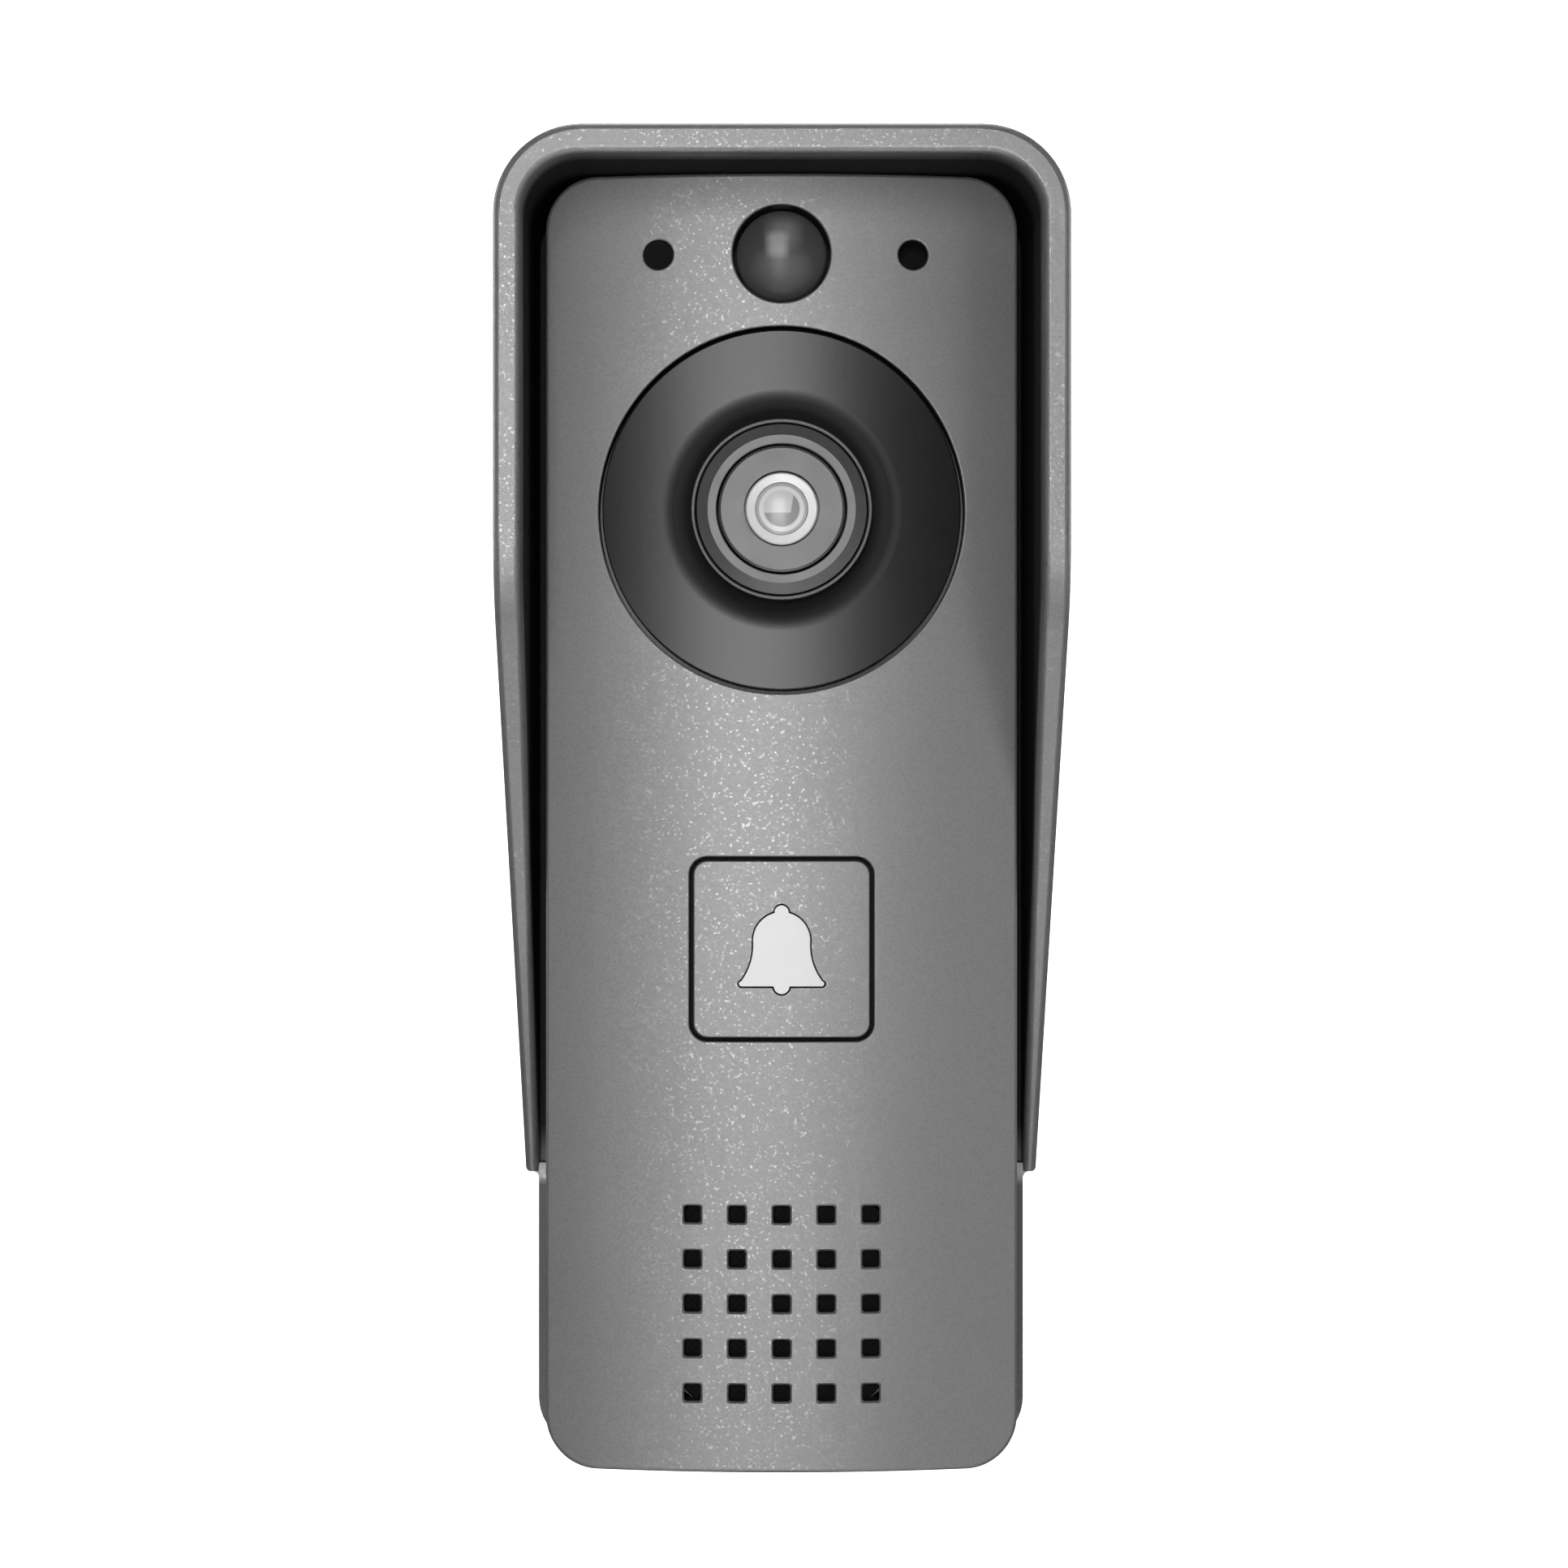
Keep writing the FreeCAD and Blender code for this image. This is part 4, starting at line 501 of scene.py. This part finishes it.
def cap(radius, edge, crest, steps):
    """Points of a spherical cap from its edge to its crest on the axis: the sphere's radius is
    (r^2 + h^2) / 2h for a cap of height h."""
    rise = crest - edge
    sphere = (radius ** 2 + rise ** 2) / (2.0 * rise)
    along = np.linspace(radius, 0.0, steps)
    return np.column_stack([along, crest - sphere + np.sqrt(sphere ** 2 - along ** 2)]).tolist()


def finish(piece, body, slot, paint, *replaced):
    """Gives a new piece its material, body and the nodes that it stands for. The slot is not used."""
    piece.data.materials.append(paint.material)
    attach(piece, body)
    if replaced:
        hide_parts(*replaced)
    return piece


def coat(paint, *nodes):
    """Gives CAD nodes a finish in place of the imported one."""
    for name in nodes:
        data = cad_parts[name].data
        data.materials.clear()
        data.materials.append(paint.material)


# ------------------------------------------------------------ operators
class STATION_OT_hood(bpy.types.Operator):
    """Paint of the rain hood"""
    bl_idname = "station.hood"
    bl_label = "Rain hood"

    def execute(self, context):
        props = context.scene.station_paint
        coat(metallic_paint("hood_paint", tuple(props.hood_colour), props, self.hood_inside_shade), "rain_hood")
        return {"FINISHED"}

    @staticmethod
    def hood_inside_shade(paint):
        """Painted shade inside the hood: its paint colour reaches only a few millimetres in from the lip,
        and deeper in it is painted near black as shade.
        It is the product of three climbs: in from each side wall, down from the roof, and back in depth.
        The tray below the arms is painted partly dark as shade."""
        low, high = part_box("rain_hood")
        x, y, z = paint.axes()
        wall = high.x - 0.6 * MM
        sides = 1.0 - x.math("ABSOLUTE").step(wall - 0.5 * MM, wall)
        ceiling = high.z - ROOF_THICKNESS + low.y * ROOF_SLOPE
        roof = 1.0 - (z - (y - low.y) * ROOF_SLOPE).step(ceiling + 0.4 * MM, ceiling + 1.2 * MM)
        front = (ARM_KINK - z).math("MAXIMUM", 0.0) * ARM_SLOPE + low.y
        back = (y - front).step(0.3 * MM, 5.0 * MM)
        inside = 1.0 - y.step(-1.2 * MM, -0.8 * MM)
        # Painted shade on the tray below the arms.
        tray = (1.0 - z.step(TRAY_TOP, TRAY_TOP + 1.0 * MM)) * TRAY_SHADE
        return (sides * roof * back).math("MAXIMUM", tray) * inside


class STATION_OT_plate(bpy.types.Operator):
    """Paint of the front plate, and the plastic of the housing behind it"""
    bl_idname = "station.plate"
    bl_label = "Front plate and housing"

    def execute(self, context):
        props = context.scene.station_paint
        coat(metallic_paint("plate_paint", tuple(props.plate_colour), props, self.opening_shade),
             "front_plate", "call_key")
        coat(moulded("housing_plastic", tuple(props.housing_colour), 0.55), "rear_housing")
        return {"FINISHED"}

    @staticmethod
    def opening_shade(paint):
        """Painted shade in the openings: below the face their walls are painted near black as shade, but
        the plate's own outline keeps its paint colour."""
        x, _, z = paint.axes()
        across = 1.0 - x.math("ABSOLUTE").step(PLATE_HIGH.x - 1.3 * MM, PLATE_HIGH.x - 1.1 * MM)
        along = 1.0 - z.math("ABSOLUTE").step(PLATE_HIGH.z - 3.6 * MM, PLATE_HIGH.z - 3.4 * MM)
        return across * along * paint.sunk().step(0.20 * MM, 0.45 * MM)


class STATION_OT_key(bpy.types.Operator):
    """Milky bell and light guide of the call key"""
    bl_idname = "station.key"
    bl_label = "Call key"

    def execute(self, context):
        props = context.scene.station_paint
        coat(milky("bell_plastic", tuple(props.bell_colour)), "bell_light_guide")
        return {"FINISHED"}


class STATION_OT_camera(bpy.types.Operator):
    """Bezel, rings and glasses of the camera"""
    bl_idname = "station.camera"
    bl_label = "Camera"

    def execute(self, context):
        paint = context.scene.station_paint
        glass = context.scene.station_glass
        coat(smoked("smoked_plastic", tuple(paint.bezel_colour)), "camera_bezel")
        coat(turned_metal("ring_grey", (0.11, 0.11, 0.11), 0.45, LENS, metallic=0.5),
             "lens_bevel_ring", "lens_barrel")
        coat(turned_metal("trim_grey", (0.10, 0.10, 0.10), 0.5, LENS, metallic=0.3), "lens_trim_ring")
        coat(turned_metal("bright_ring", (0.55, 0.55, 0.55), 0.45, LENS, metallic=0.3),
             "lens_retaining_ring")
        lens_paint = coated_lens("lens_glass", tuple(glass.lens_reflection_colour))
        coat(lens_paint, "rear_lens", "ir_cut_filter")
        self.front_lens(glass, lens_paint)
        return {"FINISHED"}

    @staticmethod
    def front_lens(glass, paint):
        """The front glass: a spherical cap on a short neck, above a wider foot, turned about the axis."""
        low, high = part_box("front_lens")
        foot = (high.x - low.x) / 2
        ring_low, ring_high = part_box("lens_retaining_ring")
        neck = (ring_high.x - ring_low.x) / 2 - LENS_NECK_SET_IN
        back, crest = -high.y, -low.y
        seat = back + LENS_FOOT
        profile = [[0.0, back], [foot, back], [foot, seat], [neck, seat]]
        profile += cap(neck, crest - LENS_RISE, crest, 24)
        piece = turned_piece("front_glass", profile, LENS, glass.segments)
        finish(piece, "unit", "lens_glass", paint, "front_lens")


class STATION_OT_sensors(bpy.types.Operator):
    """Presence sensor dome and light window"""
    bl_idname = "station.sensors"
    bl_label = "Sensor row"

    def execute(self, context):
        glass = context.scene.station_glass
        paint = self.dome_plastic(tuple(glass.dome_colour))
        coat(paint, "pir_dome")
        coat(moulded("window_plastic", (0.006, 0.006, 0.006), 0.8, gloss=0.1), "light_sensor_window")
        self.dome(glass, paint)
        return {"FINISHED"}

    @staticmethod
    def dome_plastic(base):
        """Smoky plastic with a painted highlight: the reflection of a soft light painted into the base
        colour as a pale patch a little above and left of the middle, a dimmer patch over it and a broad dim
        patch below."""
        paint = Paint("sensor_plastic")
        right, up = paint.beside(DOME)
        # Painted highlight: a soft light's reflection drawn into the base colour.
        square = right.band(-1.5, 0.5, 0.45) * up.band(-0.3, 2.2, 0.5)
        column = right.band(-1.3, 1.7, 0.9) * up.band(0.8, 3.9, 0.8)
        below = 1.0 - ((right * 0.34) ** 2.0 + ((up + 1.4) * 0.50) ** 2.0).step(0.2, 1.6)
        haze = paint.noise(6 * MM, 4.0)
        light = (square * 0.72 + column * 0.42 + below * 0.16 + haze * 0.06).clamp()
        paint.set(Base_Color=paint.mix(light, base, (0.30, 0.30, 0.30)), Roughness=0.34 + haze * 0.05,
                  Specular_IOR_Level=0.2)
        return paint.bump(paint.noise(0.9 * MM, 2.0), 4 * MICRON, 0.4)

    @staticmethod
    def dome(glass, paint):
        """The sensor's cap: a spherical dome on a tube with a flange, hollow behind, turned about the
        axis."""
        low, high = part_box("pir_dome")
        flange = (high.x - low.x) / 2
        outer = flange - DOME_FLANGE
        inner = outer - DOME_WALL
        back, crest = -high.y, -low.y
        shoulder = crest - DOME_RISE
        front = back + DOME_FLANGE_THICKNESS
        profile = [[inner, back], [flange, back], [flange, front], [outer, front]]
        profile += cap(outer, shoulder, crest, 28)
        profile += cap(inner, shoulder - 0.2 * MM, crest - DOME_WALL, 20)[::-1]
        profile.append([inner, back])
        piece = turned_piece("sensor_dome", profile, DOME, glass.segments)
        finish(piece, "unit", "sensor_plastic", paint, "pir_dome")


class STATION_OT_speaker(bpy.types.Operator):
    """Cloth behind the speaker slots, and the loudspeaker"""
    bl_idname = "station.speaker"
    bl_label = "Loudspeaker"

    def execute(self, context):
        glass = context.scene.station_glass
        paint = cloth("mesh_cloth", (0.006, 0.006, 0.006), glass.cloth_pitch)
        coat(paint, "microphone_mesh", "speaker_mesh")
        self.cloth_disc(glass, paint)
        coat(moulded("cone_film", (0.05, 0.04, 0.02), 0.5), "speaker_cone", "camera_ribbon")
        coat(plated("magnet_iron", (0.35, 0.35, 0.36)), "speaker_magnet")
        return {"FINISHED"}

    @staticmethod
    def cloth_disc(glass, paint):
        """Woven disc that follows the crowned skin: depth = crown(x) + relief * sin(kx) * sin(kz), with
        k = 2 pi / pitch, on a polar grid, and a plain back behind it that follows the same crown."""
        low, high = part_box("speaker_mesh")
        radius = (high.x - low.x) / 2
        depth = -low.y
        curve = CROWN_CURVE - SKIN
        reach = np.linspace(0.0, radius, CLOTH_RINGS)
        turn = np.linspace(0.0, FULL_TURN, CLOTH_SPOKES, endpoint=False)
        x = reach[:, None] * np.cos(turn)
        z = reach[:, None] * np.sin(turn)
        k = FULL_TURN / glass.cloth_pitch
        base = depth - curve + np.sqrt(curve ** 2 - x ** 2)
        front = base - glass.cloth_relief * (0.6 - 0.5 * np.sin(k * x) * np.sin(k * z))
        back = base - CLOTH_THICKNESS - glass.cloth_relief
        sides = []
        for level in (front, back[::-1]):
            spread = (x, z) if level is front else (x[::-1], z[::-1])
            sides.append(np.stack([SPEAKER.x + spread[0], -level, SPEAKER.z + spread[1]], axis=-1))
        piece = grid_piece("speaker_cloth", np.vstack(sides), wrap_v=True)
        finish(piece, "unit", "mesh_cloth", paint, "speaker_mesh")


class STATION_OT_inside(bpy.types.Operator):
    """Boards, seals, switch, screws and terminals"""
    bl_idname = "station.inside"
    bl_label = "Inside and fixings"

    def execute(self, context):
        coat(moulded("seal_rubber", (0.018, 0.018, 0.018), 0.75, 0.5 * MM), "cable_grommet", "housing_seal",
             "pir_seal", "bezel_seal", "key_seal", "microphone_boot", "speaker_gasket")
        coat(moulded("black_plastic", (0.022, 0.022, 0.022), 0.5), "key_frame", "lens_holder",
             "tact_switch_body", "tact_switch_stem", "ir_board_header", "board_connectors", "board_chips",
             "speaker_basket", "image_sensor", "speaker_lead")
        coat(circuit_board("board_green", (0.02, 0.16, 0.07)), "main_board", "camera_board", "ir_led_board")
        coat(plated("screw_steel", (0.55, 0.55, 0.56)), "security_screw", "housing_screws", "board_screws",
             "camera_screws", "key_frame_screws", "speaker_screws", "speaker_clamp", "pir_sensor",
             "terminal_screws")
        coat(plated("brass_parts", (0.60, 0.42, 0.18)), "brass_insert", "speaker_coil")
        coat(plated("can_aluminium", (0.62, 0.62, 0.63), 0.36), "microphone_capsule", "board_capacitors",
             "lens_spacer")
        coat(clear_resin("lamp_resin", (0.75, 0.76, 0.70)), "ir_leds", "backlight_leds", "photocell")
        coat(moulded("terminal_plastic", (0.05, 0.22, 0.10), 0.45), "terminal_block")
        return {"FINISHED"}


# Places of the lamps and their width and height, in metres.
FRONT_PLACE, FRONT_SIZE = (-0.06, -0.95, -0.06), (0.28, 0.90)
RIGHT_PLACE, RIGHT_SIZE = (0.48, -0.85, -0.25), (0.24, 0.90)
LOW_PLACE, LOW_SIZE = (0.0, -0.55, -0.85), (0.70, 0.35)
RIM_SIZE = (0.50, 0.50)
RIM_PLACES = {
    "left_rim": (-0.85, 0.22, 0.25),
    "right_rim": (0.85, 0.22, 0.25),
    "top_rim": (0.0, 0.20, 0.85),
}

# The camera's place beside the middle, its shift in shares of the picture, and its sensor in millimetres.
CAMERA_X = -1.095 * MM
CAMERA_SHIFT = (0.0079, 0.0047)
SENSOR = 36.0


class STATION_OT_stage(bpy.types.Operator):
    """Pale floor and backdrop, soft lights and the camera"""
    bl_idname = "station.stage"
    bl_label = "Stage"

    def execute(self, context):
        props = context.scene.station_studio
        self.floor()
        self.world(context.scene, props.world)
        self.soft_light("front_light", FRONT_PLACE, FRONT_SIZE, props.front_power)
        fill = self.soft_light("front_fill", FRONT_PLACE, FRONT_SIZE, props.fill_power)
        fill.light_linking.blocker_collection = self.all_but("rain_hood")
        right = self.soft_light("right_light", RIGHT_PLACE, RIGHT_SIZE, props.right_power)
        right.light_linking.receiver_collection = self.all_but("camera_bezel")
        self.soft_light("low_light", LOW_PLACE, LOW_SIZE, props.low_power)
        for name, place in RIM_PLACES.items():
            self.soft_light(name, place, RIM_SIZE, props.rim_power)
        self.camera(context.scene, props)
        return {"FINISHED"}

    @staticmethod
    def floor():
        """A pale sheet that runs flat under the object and curves up behind it and far in front of it: two
        walls and two quarter rounds with a flat run between them, carried along x."""
        paint = Paint("stage_white")
        grain = paint.noise(50 * MM, 2.0)
        paint.set(Base_Color=paint.mix(grain, (0.90, 0.90, 0.90), (0.92, 0.92, 0.92)), Roughness=0.9)
        paint.set(Emission_Color=(1.0, 1.0, 1.0, 1.0), Emission_Strength=1.0)
        level, bend, back, reach = CAD_BOX[0][2] - 0.03, 0.25, 0.45, 4.0
        turn = np.linspace(-math.pi / 2, 0.0, 24)
        across, up = bend * np.cos(turn), level + bend + bend * np.sin(turn)
        y = np.concatenate([[-reach], bend - reach - across[::-1], back - bend + across, [back]])
        z = np.concatenate([[level + reach], up[::-1], up, [level + reach]])
        x = np.array([-reach, reach])
        points = np.empty((len(y), 2, 3))
        points[..., 0] = x
        points[..., 1] = y[:, None]
        points[..., 2] = z[:, None]
        sheet = grid_piece("stage_sheet", points)
        sheet.data.materials.append(paint.material)
        sheet.visible_glossy = False
        sheet.visible_diffuse = False

    @staticmethod
    def world(scene, brightness):
        """An even grey room."""
        world = bpy.data.worlds.new("room")
        world.use_nodes = True
        world.node_tree.nodes["Background"].inputs["Color"].default_value = (*[brightness] * 3, 1.0)
        scene.world = world
        scene.view_settings.view_transform = "Standard"

    @staticmethod
    def soft_light(name, place, size, power):
        """A rectangular light that faces the plate's middle."""
        data = bpy.data.lights.new(name, "AREA")
        data.shape = "RECTANGLE"
        data.size, data.size_y = size
        data.energy = power
        lamp = bpy.data.objects.new(name, data)
        lamp.location = place
        lamp.rotation_euler = (-Vector(place)).to_track_quat("-Z", "Y").to_euler()
        lamp.visible_camera = False
        bpy.context.scene.collection.objects.link(lamp)
        return lamp

    @staticmethod
    def all_but(name):
        """A light's list of pieces that leaves one CAD node out: as blockers, the node casts no shadow in
        the light, and as receivers, the light doesn't fall on it."""
        left_out = bpy.data.collections.new(f"without_{name}")
        left_out.objects.link(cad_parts[name])
        left_out.collection_objects[0].light_linking.link_state = "EXCLUDE"
        return left_out

    @staticmethod
    def camera(scene, props):
        """A level camera straight in front of the plate."""
        data = bpy.data.cameras.new("camera")
        data.lens = props.lens
        data.sensor_width = SENSOR
        data.shift_x, data.shift_y = CAMERA_SHIFT
        camera = bpy.data.objects.new("camera", data)
        camera.location = (CAMERA_X, -props.distance, props.height)
        camera.rotation_euler = (math.pi / 2, 0.0, 0.0)
        scene.collection.objects.link(camera)
        scene.camera = camera


OPERATORS = (STATION_OT_hood, STATION_OT_plate, STATION_OT_key, STATION_OT_camera, STATION_OT_sensors,
             STATION_OT_speaker, STATION_OT_inside, STATION_OT_stage)
GROUPS = {"station_paint": StationPaint, "station_glass": StationGlass, "station_studio": StationStudio}


class STATION_PT_panel(bpy.types.Panel):
    """Sizes, colours and one button for each step"""
    bl_idname = "STATION_PT_panel"
    bl_label = "Door station"
    bl_space_type = "VIEW_3D"
    bl_region_type = "UI"
    bl_category = "Door station"

    def draw(self, context):
        for name, group in GROUPS.items():
            box = self.layout.box()
            for prop in group.__annotations__:
                box.prop(getattr(context.scene, name), prop)
        for operator in OPERATORS:
            self.layout.operator(operator.bl_idname)


def register():
    for item in (*GROUPS.values(), *OPERATORS, STATION_PT_panel):
        bpy.utils.register_class(item)
    for name, group in GROUPS.items():
        setattr(bpy.types.Scene, name, bpy.props.PointerProperty(type=group))


def unregister():
    for name in GROUPS:
        delattr(bpy.types.Scene, name)
    for item in reversed((*GROUPS.values(), *OPERATORS, STATION_PT_panel)):
        bpy.utils.unregister_class(item)


def main():
    register()
    for operator in OPERATORS:
        group, name = operator.bl_idname.split(".")
        getattr(getattr(bpy.ops, group), name)()
    bpy.context.view_layer.update()


if __name__ == "__main__":
    main()
